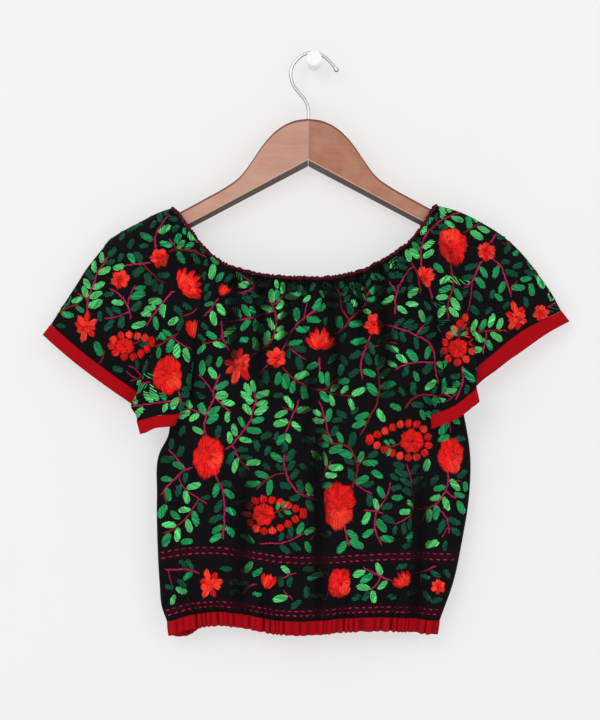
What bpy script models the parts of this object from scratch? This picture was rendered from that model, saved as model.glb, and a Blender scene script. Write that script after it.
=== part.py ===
"""Embroidered crop top with a gathered neck, flutter sleeves and elastic bands, on a wooden hanger.

The hanger's wire hook hangs over a small round wall peg. Frame: metres, +Z up, +X to the right
as seen from the front, the front faces -Y. The wall is the plane y = 0, and the origin is the
middle of the peg's back face. Every size and table below is in millimetres.
"""
import math
from collections import namedtuple

import bmesh
import bpy
import numpy as np

MM = 0.001

# Cloth
WALL = 1.2
BAND_WALL = 1.9
SEAM_GAP = 0.32
CUFF_HEIGHT = 15.0
HEM_HEIGHT = 14.0
NECK_HEIGHT = 4.6
CUFF_EVENING = 5
HANG_PLANE = -24.0
HEM_HALF_DEPTH = 7.5
CHEST_HALF_DEPTH = 10.0
SIDE_ROUNDNESS = 3.0
SHOULDER_ROUNDNESS = 8.0
CUFF_ROUNDNESS = 4.0
SHOULDER_FULLNESS = 3.2
UNDERARM_EASE = 1.5
SEAM_TURN = math.radians(58)
SKEW_LIMIT = 0.25
TURN_GAP = 4.0
FLUTE_FADE = 1.8
DEPTH_FADE = 0.9
TIP_BOW = 4.0

# Gathers, counted on one panel
BODY_GATHERS = 30
SLEEVE_GATHERS = 24
NECK_GATHER_DEPTH = 1.5
HEM_GATHER_DEPTH = 1.3
SLEEVE_GATHER_DEPTH = 1.2
GATHER_FADE = 34.0
HEM_GATHER_FADE = 20.0
BODY_LENGTH = 385.0
SLEEVE_LENGTH = 190.0

# Grid rows, as shares of the height below and above the underarm
UNDERARM_AT = 0.6
SLEEVE_UNDERARM_AT = 0.2
SIDE_ROWS = (0.0, 0.06, 0.16, 0.34, 0.56, 0.79, 1.0)
RAGLAN_ROWS = (0.0, 0.17, 0.36, 0.55, 0.73, 0.89, 1.0)
SLEEVE_LOW_ROWS = (0.0, 0.5, 1.0)

# Hanger, hook and peg
HANGER_MIDDLE = -6.4
HANGER_HALF_LENGTH = 224.0
HANGER_THICKNESS = 12.0
HANGER_TIP_THICKNESS = 9.5
HANGER_CORNER = 4.2
ARM_SLOPE = 0.553
HUMP_LOW = -109.3
WIRE_RADIUS = 1.9
PEG_HEAD_RADIUS = 8.8
PEG_NECK_RADIUS = 6.3
PEG_FOOT_RADIUS = 8.0
PEG_LENGTH = 37.0

Place = namedtuple("Place", "name x z")
Ring = namedtuple("Ring", "name x z y")
Fold = namedtuple("Fold", "x_top z_top x_low z_low width depth")
Ripple = namedtuple("Ripple", "across low high width depth")

SIDE_SEAM = {
    "left": (
        Place("hem", -161.4, -618.2), Place("above hem", -167.5, -600.6),
        Place("low waist", -169.6, -577.5), Place("waist", -172.2, -528.0),
        Place("bust", -172.7, -480.0), Place("high bust", -169.8, -432.0),
        Place("below sleeve", -159.5, -413.0), Place("tuck", -148.0, -392.0),
        Place("underarm", -137.5, -369.6)),
    "right": (
        Place("hem", 138.1, -616.5), Place("above hem", 143.5, -602.0),
        Place("low waist", 151.5, -580.0), Place("waist", 163.0, -528.0),
        Place("bust", 170.5, -480.0), Place("high bust", 171.6, -432.0),
        Place("below sleeve", 167.5, -404.0), Place("tuck", 163.5, -384.0),
        Place("underarm", 159.5, -363.0)),
}
RAGLAN_SEAM = {
    "left": (
        Place("underarm", -137.5, -369.6), Place("low armhole", -133.1, -345.0),
        Place("armhole", -131.5, -316.0), Place("high armhole", -127.0, -283.0),
        Place("shoulder blade", -116.0, -252.0), Place("neck", -99.0, -226.6)),
    "right": (
        Place("underarm", 159.5, -363.0), Place("low armhole", 151.8, -339.0),
        Place("armhole", 140.0, -305.0), Place("high armhole", 126.4, -265.0),
        Place("shoulder blade", 113.8, -233.0), Place("neck", 102.3, -204.6)),
}
NECK_LINE = (
    Place("left seam", -99.0, -226.6), Place("left bend", -78.1, -233.8),
    Place("left front", -59.4, -237.8), Place("centre left", -16.0, -242.0),
    Place("centre right", 22.0, -241.1), Place("right front", 57.2, -232.1),
    Place("right bend", 82.5, -218.4), Place("right seam", 102.3, -204.6))
BACK_NECK_RISE = 1.6
HEM_LINE = {
    "front": (
        Place("left seam", -161.4, -618.2), Place("rise", -134.2, -609.4),
        Place("crest", -101.2, -606.1), Place("fall", -75.9, -609.4),
        Place("trough", -40.0, -615.2), Place("centre", 0.0, -616.3),
        Place("right rise", 39.6, -612.6), Place("right crest", 85.8, -612.3),
        Place("right seam", 138.1, -616.5)),
    "back": (
        Place("left seam", -161.4, -618.2), Place("dip", -143.0, -619.0),
        Place("rise", -122.0, -607.5), Place("crest", -85.0, -605.5),
        Place("fall", -37.4, -612.6), Place("centre", 0.0, -613.8),
        Place("right rise", 50.6, -609.4), Place("right fall", 94.6, -611.0),
        Place("right seam", 138.1, -616.5)),
}

# Sleeves: neck edge from the seam to the shoulder, shoulder line, and the cuff seam all round
SLEEVE_NECK = {
    "left": (
        Ring("seam", -99.0, -226.6, -34.0), Ring("front", -117.2, -213.4, -34.6),
        Ring("over arm", -138.6, -186.5, -34.8), Ring("near top", -149.0, -172.0, -33.4),
        Ring("turn", -155.6, -165.4, -29.6), Ring("top", -158.4, -163.6, -24.0)),
    "right": (
        Ring("seam", 102.3, -204.6, -34.0), Ring("front", 111.0, -196.5, -34.6),
        Ring("over arm", 120.4, -184.2, -34.8), Ring("near top", 129.2, -169.5, -32.8),
        Ring("turn", 134.2, -162.8, -29.6), Ring("top", 136.6, -160.6, -24.0)),
}
SHOULDER_LINE = {
    "left": (
        Place("neck", -158.4, -163.6), Place("rise", -172.5, -168.6),
        Place("over arm", -191.4, -178.3), Place("mid arm", -207.5, -186.6),
        Place("hanger tip", -224.0, -197.2), Place("past tip", -234.5, -209.5),
        Place("upper sleeve", -249.7, -228.5), Place("mid sleeve", -263.5, -250.0),
        Place("low sleeve", -276.6, -270.0), Place("cuff", -290.0, -291.0)),
    "right": (
        Place("neck", 136.6, -160.6), Place("rise", 152.0, -164.6),
        Place("over arm", 166.0, -169.6), Place("mid arm", 181.0, -177.2),
        Place("hanger tip", 202.5, -189.8), Place("past tip", 224.0, -207.6),
        Place("upper sleeve", 239.8, -225.8), Place("mid sleeve", 251.5, -241.6),
        Place("low sleeve", 262.6, -257.8), Place("cuff", 272.6, -276.0)),
}
CUFF_FRONT = {
    "left": (
        Ring("underarm seam", -154.0, -381.0, -24.0), Ring("inner turn", -153.0, -386.5, -36.0),
        Ring("flute crown", -170.5, -390.5, -46.0), Ring("before turn", -186.0, -394.5, -46.5),
        Ring("outer turn", -193.2, -396.5, -43.0),
        Ring("hidden front", -183.0, -389.0, -39.5), Ring("hidden turn", -170.0, -382.5, -35.0),
        Ring("hidden back", -181.0, -375.5, -31.0), Ring("cuff inner", -193.0, -366.0, -29.5),
        Ring("cuff middle", -213.4, -351.6, -31.0),
        Ring("cuff outer", -260.7, -315.8, -30.5), Ring("near corner", -280.5, -299.0, -28.0),
        Ring("corner", -290.0, -291.0, -23.0)),
    "right": (
        Ring("underarm seam", 171.0, -372.0, -24.0), Ring("start", 167.5, -373.5, -31.5),
        Ring("under flute", 154.0, -379.5, -36.5), Ring("under turn", 138.0, -386.0, -38.0),
        Ring("inner turn", 127.5, -390.5, -43.0), Ring("over turn", 136.0, -386.8, -48.5),
        Ring("flute crown", 153.0, -379.0, -52.5), Ring("before turn", 168.0, -367.5, -52.5),
        Ring("outer turn", 176.2, -360.0, -49.5),
        Ring("hidden front", 166.0, -354.5, -46.0), Ring("hidden turn", 154.5, -351.0, -42.5),
        Ring("hidden back", 166.0, -348.0, -39.0), Ring("cuff inner", 179.0, -340.0, -37.0),
        Ring("cuff middle", 193.0, -328.5, -34.5), Ring("cuff outer", 234.5, -296.0, -31.0),
        Ring("near corner", 262.5, -281.5, -28.0), Ring("corner", 272.6, -276.0, -23.0)),
}
CUFF_BACK = {
    "left": (
        Ring("underarm seam", -154.0, -381.0, -24.0), Ring("back inner", -177.0, -371.0, -14.5),
        Ring("back middle", -211.0, -352.0, -13.0), Ring("back outer", -257.0, -318.5, -14.5),
        Ring("near corner", -279.5, -300.5, -17.5), Ring("corner", -290.0, -291.0, -23.0)),
    "right": (
        Ring("underarm seam", 171.0, -372.0, -24.0), Ring("back inner", 184.0, -351.5, -14.5),
        Ring("back middle", 203.0, -330.5, -13.0), Ring("back outer", 236.0, -299.0, -14.5),
        Ring("near corner", 261.5, -283.0, -17.5), Ring("corner", 272.6, -276.0, -23.0)),
}

# Main folds: ridges have a positive depth, troughs a negative one
FOLDS = {
    "front": (
        Fold(2.2, -390.0, 3.3, -640.0, 9.0, -3.0), Fold(-5.5, -335.0, -11.0, -451.0, 8.0, -2.2),
        Fold(-75.9, -450.0, -78.0, -640.0, 10.0, -2.8), Fold(117.7, -450.0, 114.4, -640.0, 10.0, -2.8),
        Fold(-36.0, -480.0, -38.0, -640.0, 14.0, 2.2), Fold(56.0, -500.0, 59.0, -640.0, 15.0, 2.2),
        Fold(-120.0, -420.0, -123.0, -640.0, 14.0, 2.2), Fold(-86.0, -225.0, -92.0, -345.0, 8.0, -2.6),
        Fold(-57.0, -225.0, -57.0, -370.0, 9.0, -2.4), Fold(-26.0, -225.0, -29.0, -315.0, 8.0, -2.2),
        Fold(22.0, -225.0, 25.0, -385.0, 9.0, -2.6), Fold(46.0, -225.0, 53.0, -320.0, 8.0, -2.2),
        Fold(73.0, -210.0, 81.0, -375.0, 9.0, -2.6), Fold(-110.0, -300.0, -118.0, -410.0, 11.0, 2.2)),
    "back": (
        Fold(-6.0, -380.0, -4.0, -640.0, 10.0, -2.8), Fold(70.0, -440.0, 66.0, -640.0, 11.0, -2.6),
        Fold(-98.0, -460.0, -101.0, -640.0, 11.0, -2.8), Fold(31.0, -470.0, 30.0, -640.0, 15.0, 2.2),
        Fold(-52.0, -490.0, -54.0, -640.0, 15.0, 2.2), Fold(108.0, -450.0, 104.0, -640.0, 13.0, 2.0),
        Fold(-78.0, -225.0, -84.0, -360.0, 9.0, -2.5), Fold(-43.0, -225.0, -46.0, -330.0, 8.0, -2.2),
        Fold(-9.0, -225.0, -12.0, -370.0, 9.0, -2.5), Fold(36.0, -225.0, 39.0, -335.0, 8.0, -2.3),
        Fold(64.0, -215.0, 70.0, -370.0, 9.0, -2.5), Fold(90.0, -205.0, 102.0, -330.0, 8.0, -2.2)),
}
SLEEVE_RIPPLES = (
    Ripple(0.17, 0.45, 1.10, 0.028, 1.8), Ripple(0.26, 0.30, 1.10, 0.028, -2.2),
    Ripple(0.345, 0.05, 0.95, 0.035, 2.2), Ripple(0.42, 0.35, 1.10, 0.028, -1.8),
    Ripple(0.60, 0.35, 1.10, 0.028, -1.8), Ripple(0.68, 0.00, 1.00, 0.035, 2.2),
    Ripple(0.77, 0.20, 1.10, 0.026, -2.4), Ripple(0.86, 0.10, 1.00, 0.030, 2.2))

ARM_TOP = (
    Place("joint", 0.0, -65.0), Place("crown", 14.0, -66.9), Place("shoulder of hump", 32.8, -76.2),
    Place("hump side", 43.6, -86.4), Place("hump fall", 52.4, -97.4), Place("hump foot", 62.0, -111.8),
    Place("neck", 76.7, -130.2), Place("arm start", 91.0, -140.2), Place("arm", 114.0, -153.0),
    Place("mid arm", 143.0, -168.4), Place("outer arm", 184.0, -187.6), Place("tip", 224.0, -207.0))
HOOK_PATH = (
    Place("stem foot", -6.0, -64.7), Place("stem", -6.2, -56.0), Place("stem top", -7.4, -49.5),
    Place("bend", -11.0, -42.6), Place("slant", -16.7, -35.8), Place("low curve", -21.8, -29.4),
    Place("side", -25.0, -21.0), Place("widest", -25.6, -14.0), Place("high side", -23.4, -6.2),
    Place("high curve", -17.3, 1.6), Place("near top", -9.0, 6.9), Place("top", 0.0, 8.55),
    Place("over peg", 9.3, 5.0), Place("down", 17.4, -1.9), Place("low", 23.0, -8.6),
    Place("end", 26.4, -12.9))
PEG_SECTIONS = (
    Ring("wall", PEG_FOOT_RADIUS, 0.0, 0.0), Ring("foot edge", PEG_FOOT_RADIUS, 0.0, 2.2),
    Ring("foot top", PEG_NECK_RADIUS, 0.0, 3.4), Ring("neck", PEG_NECK_RADIUS, 0.0, 28.5),
    Ring("head back", PEG_HEAD_RADIUS - 0.8, 0.0, 30.0), Ring("head side", PEG_HEAD_RADIUS, 0.0, 31.4),
    Ring("head edge", PEG_HEAD_RADIUS, 0.0, 34.6), Ring("head round", PEG_HEAD_RADIUS - 1.3, 0.0, 36.2),
    Ring("face", PEG_HEAD_RADIUS - 4.0, 0.0, PEG_LENGTH))

COLOURS = {
    "black cotton": ((0.006, 0.005, 0.007), 0.85, 0.0),
    "red cotton": ((0.53, 0.004, 0.012), 0.75, 0.0),
    "dark red cotton": ((0.16, 0.006, 0.018), 0.8, 0.0),
    "brown wood": ((0.29, 0.10, 0.055), 0.4, 0.0),
    "steel": ((0.62, 0.62, 0.63), 0.25, 1.0),
    "white plastic": ((0.86, 0.86, 0.85), 0.35, 0.0),
}


def clear_scene():
    for item in list(bpy.data.objects):
        bpy.data.objects.remove(item, do_unlink=True)


def material(name):
    """Principled material of one of the named colours."""
    found = bpy.data.materials.get(name)
    if found:
        return found
    colour, roughness, metallic = COLOURS[name]
    made = bpy.data.materials.new(name)
    made.use_nodes = True
    shader = made.node_tree.nodes["Principled BSDF"]
    shader.inputs["Base Color"].default_value = (*colour, 1.0)
    shader.inputs["Roughness"].default_value = roughness
    shader.inputs["Metallic"].default_value = metallic
    return made


def smooth(rows, share):
    """Points at shares 0 to 1 of the length of a smooth curve through rows of coordinates."""
    points = np.array(rows, float)
    share = np.atleast_1d(np.asarray(share, float))
    steps = np.linalg.norm(np.diff(points, axis=0), axis=1)
    knots = np.concatenate(([0.0], np.cumsum(steps))) / steps.sum()
    slopes = np.gradient(points, knots, axis=0)
    low = np.clip(np.searchsorted(knots, share, side="right") - 1, 0, len(knots) - 2)
    span = (knots[low + 1] - knots[low])[:, None]
    t = (share[:, None] - knots[low][:, None]) / span
    start = (2 * t**3 - 3 * t**2 + 1) * points[low] + (t**3 - 2 * t**2 + t) * span * slopes[low]
    end = (3 * t**2 - 2 * t**3) * points[low + 1] + (t**3 - t**2) * span * slopes[low + 1]
    return start + end


def places(table):
    return [(row.x, row.z) for row in table]


def rings(table):
    return [(row.x, row.z, row.y) for row in table]


def step_up(value, low, high):
    """Smooth rise from 0 at low to 1 at high."""
    t = np.clip((value - low) / (high - low), 0.0, 1.0)
    return t * t * (3 - 2 * t)


def body_rows():
    low = [UNDERARM_AT * share for share in SIDE_ROWS]
    high = [UNDERARM_AT + (1 - UNDERARM_AT) * share for share in RAGLAN_ROWS[1:]]
    return np.array(low + high)


def sleeve_rows():
    low = [SLEEVE_UNDERARM_AT * share for share in SLEEVE_LOW_ROWS]
    high = [SLEEVE_UNDERARM_AT + (1 - SLEEVE_UNDERARM_AT) * share for share in RAGLAN_ROWS[1:]]
    return np.array(low + high)


def seam_depth_share(raglan):
    """How far the raglan seam has left the side seam's plane, 0 at the underarm."""
    return step_up(raglan, 0.0, 0.42)


def body_edge(side, v):
    """Side seam up to the underarm, then the raglan seam up to the neck, in x and z."""
    low = smooth(places(SIDE_SEAM[side]), np.clip(v / UNDERARM_AT, 0, 1))
    high = smooth(places(RAGLAN_SEAM[side]), np.clip((v - UNDERARM_AT) / (1 - UNDERARM_AT), 0, 1))
    return np.where((v <= UNDERARM_AT)[:, None], low, high)


def body_half_depth(v):
    return HEM_HALF_DEPTH + (CHEST_HALF_DEPTH - HEM_HALF_DEPTH) * step_up(v, 0.0, 0.6)


def fold_height(x, z, folds):
    """Sum of the main ridges and troughs at places on a panel."""
    total = np.zeros_like(x)
    for fold in folds:
        along_x = fold.x_low - fold.x_top
        along_z = fold.z_low - fold.z_top
        length = math.hypot(along_x, along_z)
        along = ((x - fold.x_top) * along_x + (z - fold.z_top) * along_z) / length
        across = ((x - fold.x_top) * along_z - (z - fold.z_top) * along_x) / length
        ends = step_up(along, 0.0, 0.3 * length) * step_up(length - along, 0.0, 0.3 * length)
        total += fold.depth * np.exp(-(across / fold.width) ** 2) * ends
    return total


def gather_height(u, v):
    """Fine gathers that fade away from the elastic at the neck and at the hem."""
    from_neck = (1 - v) * BODY_LENGTH
    from_hem = v * BODY_LENGTH
    depth = NECK_GATHER_DEPTH * np.exp(-from_neck / GATHER_FADE)
    depth = depth + HEM_GATHER_DEPTH * np.exp(-from_hem / HEM_GATHER_FADE)
    sides = step_up(u, 0.0, 0.05) * step_up(1 - u, 0.0, 0.05)
    return depth * sides * np.cos(2 * math.pi * BODY_GATHERS * u)


def body_panel(face, u, v):
    """Middle surface of the front or back panel, as rows by columns of points."""
    outward = -1.0 if face == "front" else 1.0
    hem = smooth(places(HEM_LINE[face]), u)
    neck = smooth(places(NECK_LINE), u)
    if face == "back":
        neck[:, 1] += BACK_NECK_RISE * np.sin(math.pi * u)
    left = body_edge("left", v)[:, None, :]
    right = body_edge("right", v)[:, None, :]
    across = u[None, :, None]
    up = v[:, None, None]
    flat = (1 - across) * left + across * right + (1 - up) * hem[None] + up * neck[None]
    flat -= (1 - up) * ((1 - across) * left[:1] + across * right[:1])
    flat -= up * ((1 - across) * left[-1:] + across * right[-1:])
    x = flat[..., 0]
    z = flat[..., 1]
    grid_u, grid_v = np.meshgrid(u, v)
    raglan = np.clip((grid_v - UNDERARM_AT) / (1 - UNDERARM_AT), 0, 1)
    edge = seam_depth_share(raglan)
    bulge = (1 - np.abs(2 * grid_u - 1) ** SIDE_ROUNDNESS) ** (1 / SIDE_ROUNDNESS)
    fade = step_up(grid_u, 0.0, 0.1) * step_up(1 - grid_u, 0.0, 0.1)
    height = body_half_depth(grid_v) * (edge + (1 - edge) * bulge)
    height += fold_height(x, z, FOLDS[face]) * fade + gather_height(grid_u, grid_v)
    return np.stack([x, HANG_PLANE + outward * height, z], axis=-1)


def sleeve_half(side, face, share, v):
    """Front or back half of a sleeve; share runs from the seam, 0, to the shoulder line, 1."""
    outward = -1.0 if face == "front" else 1.0
    cuff_rows = rings((CUFF_FRONT if face == "front" else CUFF_BACK)[side])
    cuff = smooth(cuff_rows, share)
    neck = smooth(rings(SLEEVE_NECK[side]), share)
    if face == "back":
        neck[:, 2] = 2 * HANG_PLANE - neck[:, 2]
    shoulder = np.column_stack([smooth(places(SHOULDER_LINE[side])[::-1], v), np.full(len(v), HANG_PLANE)])
    shoulder[:, 2] += (cuff_rows[-1][2] - HANG_PLANE) * (1 - v)
    raglan = np.clip((v - SLEEVE_UNDERARM_AT) / (1 - SLEEVE_UNDERARM_AT), 0, 1)
    raglan_rows = places(RAGLAN_SEAM[side])
    seam_low = smooth([cuff_rows[0][:2], raglan_rows[0]], np.clip(v / SLEEVE_UNDERARM_AT, 0, 1))
    seam_high = smooth(raglan_rows, raglan)
    seam_flat = np.where((v <= SLEEVE_UNDERARM_AT)[:, None], seam_low, seam_high)
    ease = step_up(v, 0.0, SLEEVE_UNDERARM_AT) * (1 - step_up(raglan, 0.0, 0.3))
    seam_flat[:, 0] += sleeve_facing(side) * UNDERARM_EASE * ease
    body_v = UNDERARM_AT + (1 - UNDERARM_AT) * raglan
    seam_y = HANG_PLANE + outward * body_half_depth(body_v) * seam_depth_share(raglan)
    seam = np.column_stack([seam_flat, seam_y])
    roundness = CUFF_ROUNDNESS + (SHOULDER_ROUNDNESS - CUFF_ROUNDNESS) * step_up(v[:, None], 0.3, 0.6)
    turn = 1 - (1 - share[None] ** roundness) ** (1 / SHOULDER_FULLNESS)
    flat_turn = np.broadcast_to(share, turn.shape)
    blend = np.stack([flat_turn, flat_turn, turn], axis=-1)
    cuff_part = np.stack([(1 - v) ** FLUTE_FADE, (1 - v) ** FLUTE_FADE, (1 - v) ** DEPTH_FADE], axis=-1)
    cuff_part = cuff_part[:, None]
    neck_part = v[:, None, None]
    net = (1 - blend) * seam[:, None] + blend * shoulder[:, None]
    net += cuff_part * (cuff[None] - (1 - blend) * seam[:1, None] - blend * shoulder[:1, None])
    net += neck_part * (neck[None] - (1 - blend) * seam[-1:, None] - blend * shoulder[-1:, None])
    return net[..., [0, 2, 1]]


def sleeve_panel(side, u, v):
    """Middle surface of a sleeve; u runs from the front seam over the shoulder to the back seam."""
    front = sleeve_half(side, "front", 2 * u[u < 0.5], v)
    back = sleeve_half(side, "back", 2 * (1 - u[u >= 0.5]), v)
    base = np.concatenate([front, back], axis=1)
    grid_u, grid_v = np.meshgrid(u, v)
    from_neck = (1 - grid_v) * SLEEVE_LENGTH
    edges = step_up(grid_u, 0.0, 0.12) * step_up(1 - grid_u, 0.0, 0.12)
    crown = 1 - 0.85 * np.exp(-((grid_u - 0.5) / 0.09) ** 2)
    height = SLEEVE_GATHER_DEPTH * np.exp(-from_neck / GATHER_FADE) * np.cos(2 * math.pi * SLEEVE_GATHERS * u)
    for ripple in SLEEVE_RIPPLES:
        along = step_up(grid_v, ripple.low, ripple.low + 0.3) * step_up(ripple.high - grid_v, 0.0, 0.25)
        height = height + ripple.depth * np.exp(-((grid_u - ripple.across) / ripple.width) ** 2) * along
    return base + grid_normals(base, sleeve_facing(side)) * (height * edges * crown)[..., None]


def sleeve_facing(side):
    return -1.0 if side == "left" else 1.0


def grid_normals(points, facing, closed=False):
    """Unit normals of a grid of points, each the mean of the normals of the cells around it."""
    grid = np.concatenate([points, points[:, :1]], axis=1) if closed else points
    cells = unit(np.cross(grid[1:, 1:] - grid[:-1, :-1], grid[1:, :-1] - grid[:-1, 1:]))
    rows, columns = points.shape[:2]
    total = np.zeros(grid.shape)
    for r in (0, 1):
        for c in (0, 1):
            total[r:r + cells.shape[0], c:c + cells.shape[1]] += cells
    if closed:
        total[:, 0] += total[:, -1]
    return unit(total[:rows, :columns]) * facing


def unit(vectors):
    return vectors / np.linalg.norm(vectors, axis=-1, keepdims=True)


def share_normals(*edges):
    """Turns the normals of two edges at one seam toward their mean, so their walls end face to face."""
    mean = unit(edges[0] + edges[1])
    for edge in edges:
        along = (edge * mean).sum(axis=1, keepdims=True)
        aside = unit(edge - mean * along)
        lean = np.clip(np.arccos(np.clip(along, -1, 1)) - SEAM_TURN, 0, None)
        edge[...] = mean * np.cos(lean) + aside * np.sin(lean)


def seam_step(edge, directions):
    """Steps off a seam along the directions given, longer where they run askew to the edge."""
    along = unit(np.gradient(edge, axis=0))
    square = np.linalg.norm(np.cross(along, directions), axis=1, keepdims=True)
    return directions * SEAM_GAP / 2 / np.clip(square, SKEW_LIMIT, 1)


def pull_back(points):
    """Moves the four edges of a grid inwards, which leaves the gap at its seams."""
    moved = points.copy()
    moved[0] += seam_step(points[0], unit(points[1] - points[0]))
    moved[-1] += seam_step(points[-1], unit(points[-2] - points[-1]))
    moved[:, 0] += seam_step(points[:, 0], unit(points[:, 1] - points[:, 0]))
    moved[:, -1] += seam_step(points[:, -1], unit(points[:, -2] - points[:, -1]))
    return moved


def bowed(points):
    """The hanger's gentle bow: points go back toward the wall away from its middle."""
    moved = points.copy()
    moved[..., 1] += TIP_BOW * ((points[..., 0] - HANGER_MIDDLE) / HANGER_HALF_LENGTH) ** 2
    return moved


def add_object(name, mesh_builder, colour):
    mesh = bpy.data.meshes.new(name)
    bmesh.ops.recalc_face_normals(mesh_builder, faces=mesh_builder.faces)
    mesh_builder.to_mesh(mesh)
    mesh_builder.free()
    mesh.materials.append(material(colour))
    mesh.shade_smooth()
    made = bpy.data.objects.new(name, mesh)
    bpy.context.collection.objects.link(made)
    return made


def close_edge(builder, outer, inner, heights):
    """Closes the wall along an edge; its diagonals depend on the heights, so facing edges match."""
    for k in range(len(outer) - 1):
        a, b = (k, k + 1) if heights[k] <= heights[k + 1] else (k + 1, k)
        builder.faces.new((outer[a], outer[b], inner[b]))
        builder.faces.new((outer[a], inner[b], inner[a]))


def wall_object(name, points, normals, wall, colour, closed=False):
    """Closed solid of even wall around a grid of middle points."""
    builder = bmesh.new()
    skins = [[[builder.verts.new(place) for place in row] for row in bowed(points + normals * offset) * MM]
             for offset in (wall / 2, -wall / 2)]
    heights = points[..., 2]
    if closed:
        skins = [[row + row[:1] for row in skin] for skin in skins]
        points = np.concatenate([points, points[:, :1]], axis=1)
        heights = points[..., 2]
    rows, columns = heights.shape
    for r in range(rows - 1):
        for c in range(columns - 1):
            rising = np.linalg.norm(points[r + 1, c + 1] - points[r, c])
            falling = np.linalg.norm(points[r + 1, c] - points[r, c + 1])
            for skin in skins:
                low, right = skin[r][c], skin[r][c + 1]
                left, high = skin[r + 1][c], skin[r + 1][c + 1]
                if rising <= falling:
                    builder.faces.new((low, right, high))
                    builder.faces.new((low, high, left))
                else:
                    builder.faces.new((low, right, left))
                    builder.faces.new((right, high, left))
    outer, inner = skins
    for r in (0, -1):
        close_edge(builder, outer[r], inner[r], heights[r])
    if not closed:
        for c in (0, -1):
            close_edge(builder, [row[c] for row in outer], [row[c] for row in inner], heights[:, c])
    return add_object(name, builder, colour)


def lofted_object(name, sections, colour):
    """Closed solid through rings of the same number of points."""
    builder = bmesh.new()
    loops = [[builder.verts.new(point) for point in section * MM] for section in sections]
    count = len(loops[0])
    for low, high in zip(loops, loops[1:]):
        for k in range(count):
            n = (k + 1) % count
            builder.faces.new((low[k], low[n], high[n], high[k]))
    builder.faces.new(loops[0][::-1])
    builder.faces.new(loops[-1])
    return add_object(name, builder, colour)


def ring_of(edges):
    """Joins edges end to end into one closed ring; the column that two of them share is averaged."""
    return np.concatenate([np.concatenate([(edge[:1] + edges[k - 1][-1:]) / 2, edge[1:-1]])
                           for k, edge in enumerate(edges)])


def evened(directions, reach):
    """Directions around a closed edge, each the mean of its neighbours within a reach."""
    ring = directions[:-1]
    mean = unit(sum(np.roll(ring, step, axis=0) for step in range(-reach, reach + 1)))
    return np.concatenate([mean, mean[:1]])


def band_object(name, edges, ups, sides, height, colour):
    """Band that carries on from the panels' edges for its height; sides are the panels' normals."""
    points = ring_of(edges)
    directions = unit(ring_of(ups))
    panel_normals = unit(ring_of(sides))
    turn = 1 - (panel_normals * np.roll(panel_normals, 1, axis=0)).sum(axis=1)
    turn = np.maximum(turn, np.roll(turn, -1))[:, None]
    start = points + seam_step(points, directions) * (1 + TURN_GAP * turn)
    grid = np.stack([start, points + directions * height])
    normals = grid_normals(grid, 1.0, closed=True)
    normals *= np.sign((normals * panel_normals).sum())
    normals[0] = panel_normals
    wall_object(name, grid, normals, BAND_WALL, colour, closed=True)


def add_cloth():
    body_u = np.linspace(0, 1, 2 * BODY_GATHERS + 1)
    sleeve_u = np.linspace(0, 1, 2 * SLEEVE_GATHERS + 1)
    body_v = body_rows()
    sleeve_v = sleeve_rows()
    grids = {face: body_panel(face, body_u, body_v) for face in ("front", "back")}
    grids.update({side: sleeve_panel(side, sleeve_u, sleeve_v) for side in ("left", "right")})
    facing = {"front": 1.0, "back": -1.0, "left": sleeve_facing("left"), "right": sleeve_facing("right")}
    normals = {key: grid_normals(grid, facing[key]) for key, grid in grids.items()}

    low = len(SIDE_ROWS) - 1
    sleeve_low = len(SLEEVE_LOW_ROWS) - 1
    for column, side in ((0, "left"), (-1, "right")):
        share_normals(normals["front"][:low + 1, column], normals["back"][:low + 1, column])
        share_normals(normals["front"][low + 1:, column], normals[side][sleeve_low + 1:, 0])
        share_normals(normals["back"][low + 1:, column], normals[side][sleeve_low + 1:, -1])
        share_normals(normals[side][:sleeve_low + 1, 0], normals[side][:sleeve_low + 1, -1])

    names = {"front": "front", "back": "back", "left": "sleeve_left", "right": "sleeve_right"}
    for key, name in names.items():
        wall_object(name, pull_back(grids[key]), normals[key], WALL, "black cotton")

    rise = {key: unit(grid[-1] - grid[-2]) for key, grid in grids.items()}
    fall = {key: unit(grid[0] - grid[1]) for key, grid in grids.items()}
    for side in ("left", "right"):
        fall[side] = evened(fall[side], CUFF_EVENING)
    seams = (("neck_casing", -1, rise, NECK_HEIGHT, "dark red cotton",
              (("front", 1), ("right", 1), ("back", -1), ("left", -1))),
             ("hem_band", 0, fall, HEM_HEIGHT, "red cotton", (("front", 1), ("back", -1))),
             ("cuff_left", 0, fall, CUFF_HEIGHT, "red cotton", (("left", 1),)),
             ("cuff_right", 0, fall, CUFF_HEIGHT, "red cotton", (("right", 1),)))
    for name, row, ups, height, colour, order in seams:
        band_object(name, [grids[key][row, ::way] for key, way in order],
                    [ups[key][::way] for key, way in order],
                    [normals[key][row, ::way] for key, way in order], height, colour)


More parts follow.
